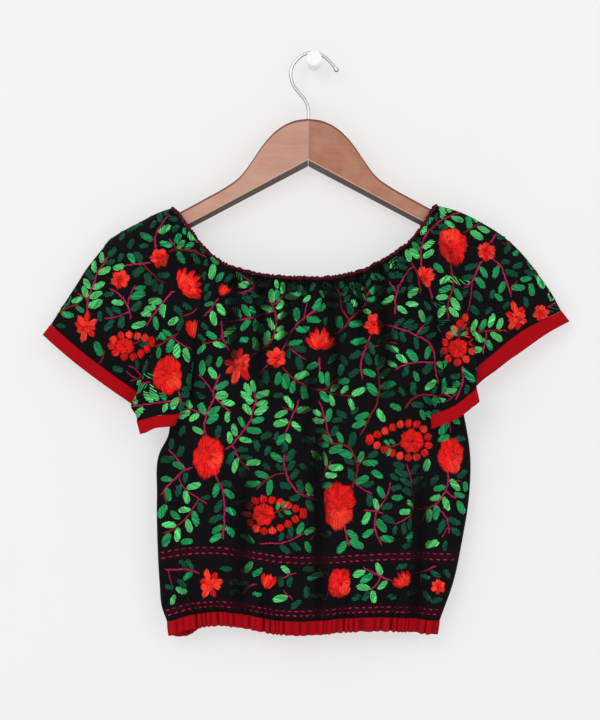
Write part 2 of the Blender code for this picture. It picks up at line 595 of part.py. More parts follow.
def arm_section(distance, side):
    """Rounded section of a hanger arm at a distance from its middle joint."""
    tip_start = HANGER_HALF_LENGTH - 9.0
    shares = np.linspace(0, 1, 400)
    outline = smooth(places(ARM_TOP), shares)
    top = np.interp(distance, outline[:, 0], outline[:, 1])
    low = HUMP_LOW - ARM_SLOPE * distance
    low = max(low, top - 32.0) if distance > 60 else low
    past = max(0.0, (distance - tip_start) / 9.0)
    shrink = math.sqrt(max(0.0, 1 - past**2)) * 0.86 + 0.14
    middle = (top + low) / 2
    half_height = (top - low) / 2 * shrink
    taper = step_up(distance, 90.0, HANGER_HALF_LENGTH)
    half_width = (HANGER_THICKNESS + (HANGER_TIP_THICKNESS - HANGER_THICKNESS) * taper) / 2 * (1 - 0.25 * past)
    corner = min(HANGER_CORNER, half_height * 0.9, half_width * 0.9)
    points = []
    for quarter in range(4):
        centre_y = (half_width - corner) * (1 if quarter in (0, 3) else -1)
        centre_z = (half_height - corner) * (1 if quarter in (0, 1) else -1)
        for step in range(4):
            angle = math.pi / 2 * (quarter + step / 3)
            points.append((HANGER_MIDDLE + side * distance,
                           HANG_PLANE + centre_y + corner * math.cos(angle),
                           middle + centre_z + corner * math.sin(angle)))
    return bowed(np.array(points))


def add_hanger():
    stations = (SEAM_GAP / 2, 14.0, 28.0, 40.0, 52.0, 64.0, 78.0, 92.0, 120.0, 150.0, 184.0, 206.0,
                215.0, 219.5, 222.5, HANGER_HALF_LENGTH)
    for name, side in (("hanger_arm_left", -1), ("hanger_arm_right", 1)):
        sections = [arm_section(distance, side) for distance in stations]
        lofted_object(name, sections, "brown wood")


def add_hook():
    """Steel wire hook: a bevelled curve that ends in a small ball."""
    curve = bpy.data.curves.new("hook", "CURVE")
    curve.dimensions = "3D"
    curve.bevel_depth = WIRE_RADIUS * MM
    curve.bevel_resolution = 3
    curve.use_fill_caps = True
    route = smooth(places(HOOK_PATH), np.linspace(0, 1, 44))
    spline = curve.splines.new("POLY")
    spline.points.add(len(route) - 1)
    ball = (1.15, 1.35, 1.3, 0.9)
    for k, (x, z) in enumerate(route):
        spline.points[k].co = (x * MM, HANG_PLANE * MM, z * MM, 1.0)
        from_end = len(route) - 1 - k
        spline.points[k].radius = ball[len(ball) - 1 - from_end] if from_end < len(ball) else 1.0
    curve.materials.append(material("steel"))
    made = bpy.data.objects.new("hook", curve)
    bpy.context.collection.objects.link(made)


def add_peg():
    """Round peg turned about Y, its flat back face on the wall."""
    sides = 24
    angles = np.arange(sides) * 2 * math.pi / sides
    sections = [np.column_stack([row.x * np.cos(angles), np.full(sides, -row.y), row.x * np.sin(angles)])
                for row in PEG_SECTIONS]
    lofted_object("wall_peg", sections, "white plastic")


def main():
    clear_scene()
    add_cloth()
    add_hanger()
    add_hook()
    add_peg()


main()
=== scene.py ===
"""Hand-embroidered crop top on a wooden hanger, hung on a wall peg.

Every table is in millimetres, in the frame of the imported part: +Z up, +X to the right as seen from the
front, the front faces -Y and the wall is the plane y = 0.
"""
import math
import random
from collections import namedtuple

import bpy
import numpy as np
from bpy.props import FloatProperty, FloatVectorProperty, IntProperty, PointerProperty
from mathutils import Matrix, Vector


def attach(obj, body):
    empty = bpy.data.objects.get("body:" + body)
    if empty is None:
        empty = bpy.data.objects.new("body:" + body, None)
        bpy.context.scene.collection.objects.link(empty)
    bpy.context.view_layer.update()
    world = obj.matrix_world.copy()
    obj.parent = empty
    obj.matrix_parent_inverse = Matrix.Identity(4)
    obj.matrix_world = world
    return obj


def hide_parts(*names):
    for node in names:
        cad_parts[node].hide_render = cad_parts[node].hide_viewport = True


bl_info = {
    "name": "Embroidered Crop Top",
    "version": (1, 0, 0),
    "blender": (4, 5, 0),
    "location": "View3D > Sidebar > Crop Top",
    "description": "Cloth, embroidery, hanger and studio of a hand-embroidered crop top",
    "category": "Object",
}

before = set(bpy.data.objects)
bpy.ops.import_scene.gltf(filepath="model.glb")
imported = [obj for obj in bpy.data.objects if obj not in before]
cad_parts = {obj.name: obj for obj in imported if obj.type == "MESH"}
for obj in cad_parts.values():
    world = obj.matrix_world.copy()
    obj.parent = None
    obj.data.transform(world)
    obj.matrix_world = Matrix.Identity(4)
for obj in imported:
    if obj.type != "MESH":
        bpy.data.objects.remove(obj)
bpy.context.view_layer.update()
MM = 0.001

# The cut of the top

HANG_PLANE = -24.0
HEM_HALF_DEPTH = 7.5
CHEST_HALF_DEPTH = 10.0
SIDE_ROUNDNESS = 3.0
SHOULDER_ROUNDNESS = 8.0
CUFF_ROUNDNESS = 4.0
SHOULDER_FULLNESS = 3.2
UNDERARM_EASE = 0.5
FLUTE_FADE = 1.8
FLUTE_PUSH = -16.0
FLUTE_EDGE = 0.255
DEPTH_FADE = 0.9
FLUTE_WIDTH = 0.09
TIP_BOW = 4.0
HANGER_MIDDLE = -6.4
HANGER_HALF_LENGTH = 224.0
BODY_LENGTH = 385.0
SLEEVE_LENGTH = 190.0
UNDERARM_AT = 0.6
SLEEVE_UNDERARM_AT = 0.2
BACK_NECK_RISE = 1.6
SLEEVE_LOW_ROWS = 10
FINE_ROWS_REACH = 30.0

# A crease deeper than PINCHED has a sharp line down its middle and draws the cloth over it
PINCHED = -2.4
PINCH_WIDTH = 2.4
PINCH_SHARE = 0.8
DRAWN_WIDTH = 5.0
DRAWN_SHARE = 0.65
CREASE_SWAY = 1.6
CREASE_SWAY_LENGTH = 31.0
CREASE_ENDS = 0.3

Place = namedtuple("Place", "name x z")
Ring = namedtuple("Ring", "name x z y")
Fold = namedtuple("Fold", "x_top z_top x_low z_low width depth")
Ripple = namedtuple("Ripple", "across low high width depth")
Gather = namedtuple("Gather", "height reach")

# How high the gathers stand at the edge that holds them, and how far they run into the panel
NECK_FINE = Gather(1.5, 20.0)
NECK_LONG = Gather(2.1, 62.0)
HEM_FINE = Gather(1.25, 11.0)
HEM_LONG = Gather(1.5, 42.0)
SLEEVE_FINE = Gather(1.15, 24.0)
LONG_NECK_GATHERS = 14
LONG_HEM_GATHERS = 17
# Where the uneven spacing of each panel's gathers starts
GATHER_SWAY = {"front": 0.7, "back": 2.1, "left": 0.4, "right": 1.9}

SIDE_SEAM = {
    "left": (
        Place("hem", -161.4, -618.2), Place("above hem", -167.5, -600.6),
        Place("low waist", -169.6, -577.5), Place("waist", -172.2, -528.0),
        Place("bust", -172.7, -480.0), Place("high bust", -169.8, -432.0),
        Place("below sleeve", -160.5, -414.0), Place("tuck", -157.0, -396.0),
        Place("high tuck", -150.5, -381.0), Place("underarm", -137.5, -369.6)),
    "right": (
        Place("hem", 138.1, -616.5), Place("above hem", 143.5, -602.0),
        Place("low waist", 151.5, -580.0), Place("waist", 163.0, -528.0),
        Place("bust", 170.5, -480.0), Place("high bust", 171.6, -432.0),
        Place("below sleeve", 167.5, -404.0), Place("tuck", 163.5, -384.0),
        Place("underarm", 159.5, -363.0)),
}
RAGLAN_SEAM = {
    "left": (
        Place("underarm", -137.5, -369.6), Place("low armhole", -133.1, -345.0),
        Place("armhole", -131.5, -316.0), Place("high armhole", -127.0, -283.0),
        Place("shoulder blade", -116.0, -252.0), Place("neck", -99.0, -226.6)),
    "right": (
        Place("underarm", 159.5, -363.0), Place("low armhole", 151.8, -339.0),
        Place("armhole", 140.0, -305.0), Place("high armhole", 126.4, -265.0),
        Place("shoulder blade", 113.8, -233.0), Place("neck", 102.3, -204.6)),
}
NECK_LINE = (
    Place("left seam", -99.0, -226.6), Place("left bend", -78.1, -233.8),
    Place("left front", -59.4, -237.8), Place("centre left", -16.0, -242.0),
    Place("centre right", 22.0, -241.1), Place("right front", 57.2, -232.1),
    Place("right bend", 82.5, -218.4), Place("right seam", 102.3, -204.6))
HEM_LINE = {
    "front": (
        Place("left seam", -161.4, -618.2), Place("rise", -134.2, -609.4),
        Place("crest", -101.2, -606.1), Place("fall", -75.9, -609.4),
        Place("trough", -40.0, -615.2), Place("centre", 0.0, -616.3),
        Place("right rise", 39.6, -612.6), Place("right crest", 85.8, -612.3),
        Place("right seam", 138.1, -616.5)),
    "back": (
        Place("left seam", -161.4, -618.2), Place("dip", -143.0, -619.0),
        Place("rise", -122.0, -607.5), Place("crest", -85.0, -605.5),
        Place("fall", -37.4, -612.6), Place("centre", 0.0, -613.8),
        Place("right rise", 50.6, -609.4), Place("right fall", 94.6, -611.0),
        Place("right seam", 138.1, -616.5)),
}
SLEEVE_NECK = {
    "left": (
        Ring("seam", -99.0, -226.6, -34.0), Ring("front", -117.2, -213.4, -34.6),
        Ring("over arm", -138.6, -186.5, -34.8), Ring("near top", -149.0, -172.0, -33.4),
        Ring("turn", -155.6, -165.4, -29.6), Ring("top", -158.4, -163.6, -24.0)),
    "right": (
        Ring("seam", 102.3, -204.6, -34.0), Ring("front", 111.0, -196.5, -34.6),
        Ring("over arm", 120.4, -184.2, -34.8), Ring("near top", 129.2, -169.5, -32.8),
        Ring("turn", 134.2, -162.8, -29.6), Ring("top", 136.6, -160.6, -24.0)),
}
SHOULDER_LINE = {
    "left": (
        Place("neck", -158.4, -163.6), Place("rise", -172.5, -168.6),
        Place("over arm", -191.4, -178.3), Place("mid arm", -207.5, -186.6),
        Place("hanger tip", -224.0, -197.2), Place("past tip", -234.5, -209.5),
        Place("upper sleeve", -249.7, -228.5), Place("mid sleeve", -263.5, -250.0),
        Place("low sleeve", -276.6, -270.0), Place("cuff", -290.0, -291.0)),
    "right": (
        Place("neck", 136.6, -160.6), Place("rise", 152.0, -164.6),
        Place("over arm", 166.0, -169.6), Place("mid arm", 181.0, -177.2),
        Place("hanger tip", 202.5, -189.8), Place("past tip", 224.0, -207.6),
        Place("upper sleeve", 239.8, -225.8), Place("mid sleeve", 251.5, -241.6),
        Place("low sleeve", 262.6, -257.8), Place("cuff", 272.6, -276.0)),
}
CUFF_FRONT = {
    "left": (
        Ring("underarm seam", -151.0, -381.5, -24.0), Ring("inner turn", -146.5, -387.5, -36.5),
        Ring("flute crown", -170.5, -390.5, -46.0), Ring("before turn", -186.0, -394.5, -46.5),
        Ring("outer turn", -193.2, -396.5, -43.0),
        Ring("hidden front", -183.0, -389.0, -39.5), Ring("hidden turn", -170.0, -382.5, -35.0),
        Ring("hidden back", -181.0, -375.5, -31.0), Ring("cuff inner", -193.0, -366.0, -29.5),
        Ring("cuff middle", -213.4, -351.6, -31.0),
        Ring("cuff outer", -260.7, -315.8, -30.5), Ring("near corner", -280.5, -299.0, -28.0),
        Ring("corner", -290.0, -291.0, -23.0)),
    "right": (
        Ring("underarm seam", 163.5, -370.5, -24.0), Ring("start", 161.5, -373.5, -31.5),
        Ring("under flute", 154.0, -379.5, -36.5), Ring("under turn", 138.0, -386.0, -38.0),
        Ring("inner turn", 127.5, -390.5, -43.0), Ring("over turn", 136.0, -386.8, -48.5),
        Ring("flute crown", 153.0, -379.0, -52.5), Ring("before turn", 168.0, -367.5, -52.5),
        Ring("outer turn", 176.2, -360.0, -49.5),
        Ring("hidden front", 166.0, -354.5, -46.0), Ring("hidden turn", 154.5, -351.0, -42.5),
        Ring("hidden back", 166.0, -346.0, -39.0), Ring("cuff inner", 179.0, -336.5, -37.0),
        Ring("cuff middle", 193.0, -325.5, -34.5), Ring("cuff outer", 230.5, -296.8, -31.0),
        Ring("near corner", 260.5, -281.5, -28.0), Ring("corner", 272.6, -276.0, -23.0)),
}
CUFF_BACK = {
    "left": (
        Ring("underarm seam", -151.0, -381.5, -24.0), Ring("back inner", -177.0, -371.0, -14.5),
        Ring("back middle", -211.0, -352.0, -13.0), Ring("back outer", -257.0, -318.5, -14.5),
        Ring("near corner", -279.5, -300.5, -17.5), Ring("corner", -290.0, -291.0, -23.0)),
    "right": (
        Ring("underarm seam", 163.5, -370.5, -24.0), Ring("back inner", 173.0, -347.0, -14.5),
        Ring("back middle", 198.0, -326.0, -13.0), Ring("back outer", 234.0, -299.0, -14.5),
        Ring("near corner", 261.0, -281.8, -17.5), Ring("corner", 272.6, -276.0, -23.0)),
}

ARM_SLOPE = 0.526
HUMP_LOW = -116.8
ARM_THICKNESS = (12.0, 9.5)
TIP_ROUNDING = 9.0
# Radii of an arm's corners, from the low front round by the top, and how far its underside slopes back
ARM_CORNERS = (1.0, 3.4, 2.4, 1.6)
UNDERSIDE_AT = (0.0, 40.0, 110.0)
UNDERSIDE_SLOPE = (6.8, 6.2, 5.5)
WIRE_RADIUS = 1.65
WIRE_TIP_RADIUS = 2.7
ARM_TOP = (
    Place("joint", 0.0, -65.0), Place("crown", 14.0, -66.9), Place("shoulder of hump", 32.8, -76.2),
    Place("hump side", 43.6, -86.4), Place("hump fall", 52.4, -97.4), Place("hump foot", 62.0, -111.8),
    Place("neck", 76.7, -130.2), Place("arm start", 91.0, -140.2), Place("arm", 114.0, -153.0),
    Place("mid arm", 143.0, -168.4), Place("outer arm", 184.0, -187.6), Place("tip", 224.0, -207.0))
HOOK_PATH = (
    Place("stem foot", -6.0, -66.5), Place("stem", -6.2, -56.0), Place("stem top", -7.4, -49.5),
    Place("bend", -11.0, -42.6), Place("slant", -16.7, -35.8), Place("low curve", -21.8, -29.4),
    Place("side", -25.0, -21.0), Place("widest", -25.6, -14.0), Place("high side", -23.4, -6.2),
    Place("high curve", -17.3, 1.6), Place("near top", -9.0, 6.9), Place("top", 0.0, 8.55),
    Place("over peg", 9.3, 5.0), Place("down", 17.4, -1.9), Place("low", 23.0, -8.6),
    Place("end", 26.4, -12.9))
# Depths from the wall, each with the peg's radius there
PEG_PROFILE = (
    (0.0, 8.0), (2.0, 8.0), (2.6, 7.7), (3.2, 6.6), (3.8, 6.3), (28.2, 6.3), (29.2, 6.8), (29.9, 7.8),
    (30.6, 8.4), (31.6, 8.6), (35.4, 8.6), (36.2, 8.45), (36.7, 8.1), (36.95, 7.5), (37.0, 6.5), (37.0, 2.5))

# Creases placed one by one: ridges have a positive depth, troughs a negative one
CREASES = {
    "front": (
        Fold(2.2, -375, 3.3, -660, 9.5, -7), Fold(-5.5, -325, -11, -451, 6, -4.2),
        Fold(-75.9, -420, -78, -660, 9, -6.4), Fold(117.7, -420, 114.4, -665, 9.5, -6.8),
        Fold(-36, -480, -38, -640, 14, 2.6), Fold(56, -500, 59, -640, 15, 2.6),
        Fold(-120, -420, -123, -640, 14, 2.4), Fold(-86, -195, -92, -355, 6.5, -4.8),
        Fold(-57, -195, -57, -385, 7, -4.8), Fold(-26, -195, -29, -330, 6, -4.2),
        Fold(22, -195, 25, -395, 7, -4.8), Fold(46, -195, 53, -330, 6, -4.2),
        Fold(73, -180, 81, -385, 7, -5), Fold(-110, -300, -118, -410, 10, 2.6),
        Fold(-71, -225, -74, -335, 6.5, 2.2), Fold(-41, -225, -43, -350, 7, 2.4),
        Fold(-8, -225, -8, -330, 7, 2), Fold(36, -225, 40, -345, 7, 2.4),
        Fold(61, -215, 68, -345, 7, 2.4), Fold(90, -205, 104, -350, 7, 2.6),
        Fold(-150, -560, -152, -640, 8, -2), Fold(-99, -570, -98, -640, 6, -1.8),
        Fold(-54, -575, -55, -640, 5.5, -1.8), Fold(24, -570, 27, -640, 6, -1.8),
        Fold(84, -565, 85, -640, 6, -2), Fold(140, -470, 131, -640, 9, 2.2)),
    "back": (
        Fold(-24, -380, -22, -650, 7, -5.2), Fold(70, -430, 66, -650, 7, -5),
        Fold(-98, -450, -101, -650, 7, -4.8), Fold(31, -470, 30, -640, 14, 2.6),
        Fold(-52, -490, -54, -640, 14, 2.6), Fold(108, -450, 104, -640, 12, 2.4),
        Fold(-78, -225, -84, -360, 8, -3.2), Fold(-43, -225, -46, -330, 7, -2.8),
        Fold(-9, -225, -12, -370, 8, -3.2), Fold(36, -225, 39, -335, 7, -2.9),
        Fold(64, -215, 70, -370, 8, -3.2), Fold(90, -205, 102, -330, 7, -2.8),
        Fold(-61, -225, -63, -340, 7, 2.3), Fold(-26, -225, -28, -350, 7, 2.3),
        Fold(15, -225, 14, -330, 7, 2.2), Fold(51, -220, 55, -345, 7, 2.3),
        Fold(-130, -565, -133, -640, 7, -2), Fold(-74, -570, -75, -640, 6, -1.8),
        Fold(46, -570, 47, -640, 6, -1.8), Fold(88, -575, 88, -640, 6, -1.8)),
}
SLEEVE_RIPPLES = (
    Ripple(0.10, 0.60, 1.10, 0.018, 1.6), Ripple(0.17, 0.45, 1.10, 0.024, 2.2),
    Ripple(0.215, 0.55, 1.10, 0.014, -1.6), Ripple(0.26, 0.30, 1.10, 0.024, -2.6),
    Ripple(0.30, 0.62, 1.10, 0.014, 1.6), Ripple(0.345, 0.05, 0.95, 0.032, 2.6),
    Ripple(0.385, 0.55, 1.10, 0.014, -1.4), Ripple(0.42, 0.35, 1.10, 0.024, -2.0),
    Ripple(0.60, 0.35, 1.10, 0.024, -2.0), Ripple(0.64, 0.55, 1.10, 0.014, 1.4),
    Ripple(0.68, 0.00, 1.00, 0.032, 2.6), Ripple(0.725, 0.55, 1.10, 0.014, -1.4),
    Ripple(0.77, 0.20, 1.10, 0.024, -2.6), Ripple(0.81, 0.60, 1.10, 0.014, 1.6),
    Ripple(0.86, 0.10, 1.00, 0.028, 2.4), Ripple(0.92, 0.60, 1.10, 0.016, -1.4))

# The embroidered garden

Motif = namedtuple("Motif", "kind x z size turn")

GARDEN = {
    "front": (
        Motif("tulip", -97, -253, 9.5, 0.6),
        Motif("carnation", -117, -437, 20.5, 0.3), Motif("carnation", 26, -492, 22.8, 1.2),
        Motif("daisy", -83, -334, 17.9, 0.2), Motif("rosette", -41, -329, 11.2, 0.0),
        Motif("cockscomb", 12, -312, 16.8, 0.15), Motif("rosette", 68, -289, 12.9, 0.5),
        Motif("paisley", 93, -423, 34.1, -1.75), Motif("paisley", -42, -497, 31.9, 1.35),
        Motif("carnation", 151, -434, 17.0, 0.9),
        Motif("daisy", -112, -574, 15.7, 0.4), Motif("tulip", -52, -575, 12.3, 0.3),
        Motif("carnation", 29, -576, 15.2, 0.5), Motif("cockscomb", 101, -574, 12.3, -0.2),
        Motif("rosette", 140, -578, 8.4, 0.1)),
    "back": (
        Motif("carnation", 104, -448, 21.1, 0.5), Motif("carnation", -34, -470, 22.2, 0.2),
        Motif("daisy", 64, -340, 17.9, 0.6), Motif("rosette", 22, -318, 12.3, 0.2),
        Motif("cockscomb", -24, -335, 16.8, -0.2), Motif("rosette", -74, -300, 12.9, 0.1),
        Motif("paisley", -104, -415, 33.0, 1.7), Motif("paisley", 44, -513, 31.9, -1.4),
        Motif("carnation", -136, -490, 16.4, 0.3), Motif("rosette", 118, -370, 11.2, 0.4),
        Motif("daisy", 92, -573, 15.1, 0.1), Motif("tulip", 32, -574, 12.3, -0.3),
        Motif("carnation", -40, -574, 15.2, 0.8), Motif("cockscomb", -96, -571, 12.3, 0.2),
        Motif("rosette", -140, -577, 9.0, 0.1)),
    "left": (
        Motif("rosette", -165, -219, 11.2, 0.4), Motif("cockscomb", -139, -245, 17.9, 0.9),
        Motif("tulip", -128, -296, 14.6, 0.1), Motif("carnation", -157, -349, 19.3, 0.7),
        Motif("daisy", -250, -292, 14.6, 0.2), Motif("paisley", -196, -312, 24.2, 1.2),
        Motif("rosette", -214, -240, 10.6, 0.3)),
    "left back": (
        Motif("carnation", -150, -262, 17.5, 0.3), Motif("paisley", -190, -300, 26.4, -1.0),
        Motif("daisy", -248, -290, 13.4, 0.5), Motif("rosette", -205, -235, 11.2, 0.2),
        Motif("rosette", -170, -350, 10.6, 0.2)),
    "right": (
        Motif("carnation", 147, -206, 18.6, -1.7), Motif("rosette", 120, -240, 11.8, 0.7),
        Motif("rosette", 190, -209, 11.2, 0.1), Motif("paisley", 157, -305, 26.5, 0.1),
        Motif("daisy", 223, -283, 14.0, 0.5), Motif("rosette", 251, -277, 9.5, 0.3)),
    "right back": (
        Motif("carnation", 150, -260, 17.5, 0.5), Motif("paisley", 185, -296, 26.4, 1.1),
        Motif("daisy", 232, -276, 13.4, 0.2), Motif("rosette", 190, -222, 11.2, 0.4),
        Motif("rosette", 168, -345, 10.1, 0.2)),
}
THREADS = ("mint thread", "leaf thread", "forest thread", "scarlet thread", "coral thread",
           "crimson thread", "vine thread", "wine thread")
MINT, LEAF, FOREST, SCARLET, CORAL, CRIMSON, VINE, WINE = range(8)
STEMS = (VINE, VINE, WINE)
# Heights in v of the two double rows of running stitches, and the half width of the line under each pair
STITCH_ROWS = ((0.016, 0.029), (0.163, 0.178))
STITCH_LINE = 0.011
# Seeds of the embroidery, the margins in u and v that it keeps clear, and the most places that it marks
SEEDS = {"front": 11, "back": 23, "left": 37, "right": 41}
BODY_MARGINS = ((0.006, 0.008), (0.994, 0.998))
SLEEVE_MARGINS = ((0.008, 0.012), (0.992, 0.997))
MOST_MARKS = 60000
# Limits of a stitch in mm; one that the folds stretch beyond this factor plus this length is left out
LONGEST_STITCH = 34.0
SHORTEST_STITCH = 0.8
STITCH_STRETCH = (1.4, 1.5)
# How much the folds may lengthen and widen a leaf, and how far they may bend one with an outline
LEAF_STRETCH = (1.2, 1.5)
LEAF_BEND = 0.8
# How far a stitch may rise over a bulge of the cloth
MOST_RISE = 3.5
# A stitch is a ridge with its ends and two crests at these shares of its length, and eight corners
RIDGE_AT = (0.0, 0.2, 0.8, 1.0)
RIDGE_QUADS = ((1, 4, 5, 2), (2, 5, 6, 3), (1, 3, 6, 4))
RIDGE_TRIANGLES = ((0, 1, 2), (0, 2, 3), (4, 7, 5), (5, 7, 6), (0, 3, 1), (4, 6, 7))
# Spacing of a vine's spots, the shortest vine, and how far a side vine may be from a bare place
VINE_STEP = 2.2
SHORTEST_VINE = 13.0
FARTHEST_TWIG = 34.0
# A motif is sewn on the outermost cloth within this distance of its place
FIND_REACH = 3.0


def smooth(rows, share):
    """Points at shares 0 to 1 of the length of a smooth curve through rows of coordinates."""
    points = np.array(rows, float)
    share = np.atleast_1d(np.asarray(share, float))
    steps = np.linalg.norm(np.diff(points, axis=0), axis=1)
    knots = np.concatenate(([0.0], np.cumsum(steps))) / steps.sum()
    slopes = np.gradient(points, knots, axis=0)
    low = np.clip(np.searchsorted(knots, share, side="right") - 1, 0, len(knots) - 2)
    span = (knots[low + 1] - knots[low])[:, None]
    t = (share[:, None] - knots[low][:, None]) / span
    start = (2 * t**3 - 3 * t**2 + 1) * points[low] + (t**3 - 2 * t**2 + t) * span * slopes[low]
    end = (3 * t**2 - 2 * t**3) * points[low + 1] + (t**3 - t**2) * span * slopes[low + 1]
    return start + end


def places(table):
    return [(row.x, row.z) for row in table]


def rings(table):
    return [(row.x, row.z, row.y) for row in table]


def step_up(value, low, high):
    """Smooth rise from 0 at low to 1 at high."""
    t = np.clip((value - low) / (high - low), 0.0, 1.0)
    return t * t * (3 - 2 * t)


def unit(vectors):
    return vectors / np.linalg.norm(vectors, axis=-1, keepdims=True)


def sleeve_facing(side):
    return -1.0 if side == "left" else 1.0


def seam_depth_share(raglan):
    """How far the raglan seam has left the side seam's plane, 0 at the underarm."""
    return step_up(raglan, 0.0, 0.42)


def body_edge(side, v):
    """Side seam up to the underarm, then the raglan seam up to the neck, in x and z."""
    low = smooth(places(SIDE_SEAM[side]), np.clip(v / UNDERARM_AT, 0, 1))
    high = smooth(places(RAGLAN_SEAM[side]), np.clip((v - UNDERARM_AT) / (1 - UNDERARM_AT), 0, 1))
    return np.where((v <= UNDERARM_AT)[:, None], low, high)


def off_sides(u, margin):
    """0 at both sides of a panel and 1 beyond a margin from them."""
    return step_up(u, 0.0, margin) * step_up(1 - u, 0.0, margin)


def body_half_depth(v):
    return HEM_HALF_DEPTH + (CHEST_HALF_DEPTH - HEM_HALF_DEPTH) * step_up(v, 0.0, 0.6)


def crease_height(x, z, creases):
    """Sum of the creases at places on a panel, and how far the deep ones draw the cloth over them."""
    total = np.zeros_like(x)
    drawn = np.zeros_like(x)
    for fold in creases:
        along_x = fold.x_low - fold.x_top
        along_z = fold.z_low - fold.z_top
        length = math.hypot(along_x, along_z)
        along = ((x - fold.x_top) * along_x + (z - fold.z_top) * along_z) / length
        across = ((x - fold.x_top) * along_z - (z - fold.z_top) * along_x) / length
        sway = CREASE_SWAY * np.sin(along / CREASE_SWAY_LENGTH + fold.x_top)
        fading = CREASE_ENDS * length
        ends = step_up(along, 0.0, fading) * step_up(length - along, 0.0, fading)
        total += fold.depth * np.exp(-((across + sway) / fold.width) ** 2) * ends
        if fold.depth < PINCHED:
            total += PINCH_SHARE * fold.depth * np.exp(-((across + sway) / PINCH_WIDTH) ** 2) * ends
            lean = math.copysign(1.0, math.sin(fold.x_top))
            lip = np.exp(-((across + sway + DRAWN_WIDTH * lean) / DRAWN_WIDTH) ** 2)
            drawn += DRAWN_SHARE * fold.depth * lean * lip * ends
    return total, drawn


def gather_phase(u, count, sway):
    """Count of gathers from the left edge up to u; they are wider here and narrower there."""
    turns = 2 * math.pi
    return count * u + (0.6 * np.sin(turns * 4.3 * u + sway) + 0.25 * np.sin(turns * 11.0 * u + 2 * sway))


def gather_wave(phase):
    """Round ridges with narrow valleys between them, from -1 to 1."""
    return 0.55 * np.cos(2 * math.pi * phase) + 0.45 * (2 * np.abs(np.cos(math.pi * phase)) - 1)


def gather_swell(u, sway):
    """Some gathers stand higher than others."""
    return 1 + 0.38 * np.sin(2 * math.pi * 7.3 * u + sway) + 0.24 * np.sin(2 * math.pi * 17.1 * u)


def fine_gathers(u, count, sway):
    """Narrow gathers along an edge, as a factor of their height."""
    return gather_wave(gather_phase(u, count, sway)) * gather_swell(u, sway)


def standing(gather, distance):
    """Height that a gather still has at a distance from its edge."""
    return gather.height * np.exp(-distance / gather.reach)


def body_gathers(face, u, v):
    """Gathers under the neck casing and over the hem band of a body panel."""
    cloth = bpy.context.scene.crop_top_cloth
    sway = GATHER_SWAY[face]
    from_neck = (1 - v) * BODY_LENGTH
    from_hem = v * BODY_LENGTH
    fine_neck = fine_gathers(u, cloth.neck_gathers, sway)
    fine_hem = fine_gathers(u, cloth.hem_gathers, sway + 1)
    long_neck = np.sin(2 * math.pi * gather_phase(u, LONG_NECK_GATHERS, sway)) * gather_swell(u, sway + 2)
    long_hem = np.sin(2 * math.pi * gather_phase(u, LONG_HEM_GATHERS, sway + 2)) * gather_swell(u, sway + 3)
    height = standing(NECK_FINE, from_neck) * fine_neck + standing(NECK_LONG, from_neck) * long_neck
    height += standing(HEM_FINE, from_hem) * fine_hem + standing(HEM_LONG, from_hem) * long_hem
    return height * step_up(u, 0.0, 0.05) * step_up(1 - u, 0.0, 0.05)


def body_panel(face, u, v, plain=False):
    """Middle surface of the front or back panel, as rows by columns of points."""
    outward = -1.0 if face == "front" else 1.0
    hem = smooth(places(HEM_LINE[face]), u)
    neck = smooth(places(NECK_LINE), u)
    if face == "back":
        neck[:, 1] += BACK_NECK_RISE * np.sin(math.pi * u)
    left = body_edge("left", v)[:, None, :]
    right = body_edge("right", v)[:, None, :]
    across = u[None, :, None]
    up = v[:, None, None]
    flat = (1 - across) * left + across * right + (1 - up) * hem[None] + up * neck[None]
    flat -= (1 - up) * ((1 - across) * left[:1] + across * right[:1])
    flat -= up * ((1 - across) * left[-1:] + across * right[-1:])
    x = flat[..., 0]
    z = flat[..., 1]
    grid_u, grid_v = np.meshgrid(u, v)
    raglan = np.clip((grid_v - UNDERARM_AT) / (1 - UNDERARM_AT), 0, 1)
    edge = seam_depth_share(raglan)
    bulge = (1 - np.abs(2 * grid_u - 1) ** SIDE_ROUNDNESS) ** (1 / SIDE_ROUNDNESS)
    fade = off_sides(grid_u, 0.1)
    height = body_half_depth(grid_v) * (edge + (1 - edge) * bulge)
    if not plain:
        creased, drawn = crease_height(x, z, CREASES[face])
        height = height + creased * fade + body_gathers(face, grid_u, grid_v)
        x = x - drawn * fade
    return np.stack([x, HANG_PLANE + outward * height, z], axis=-1)


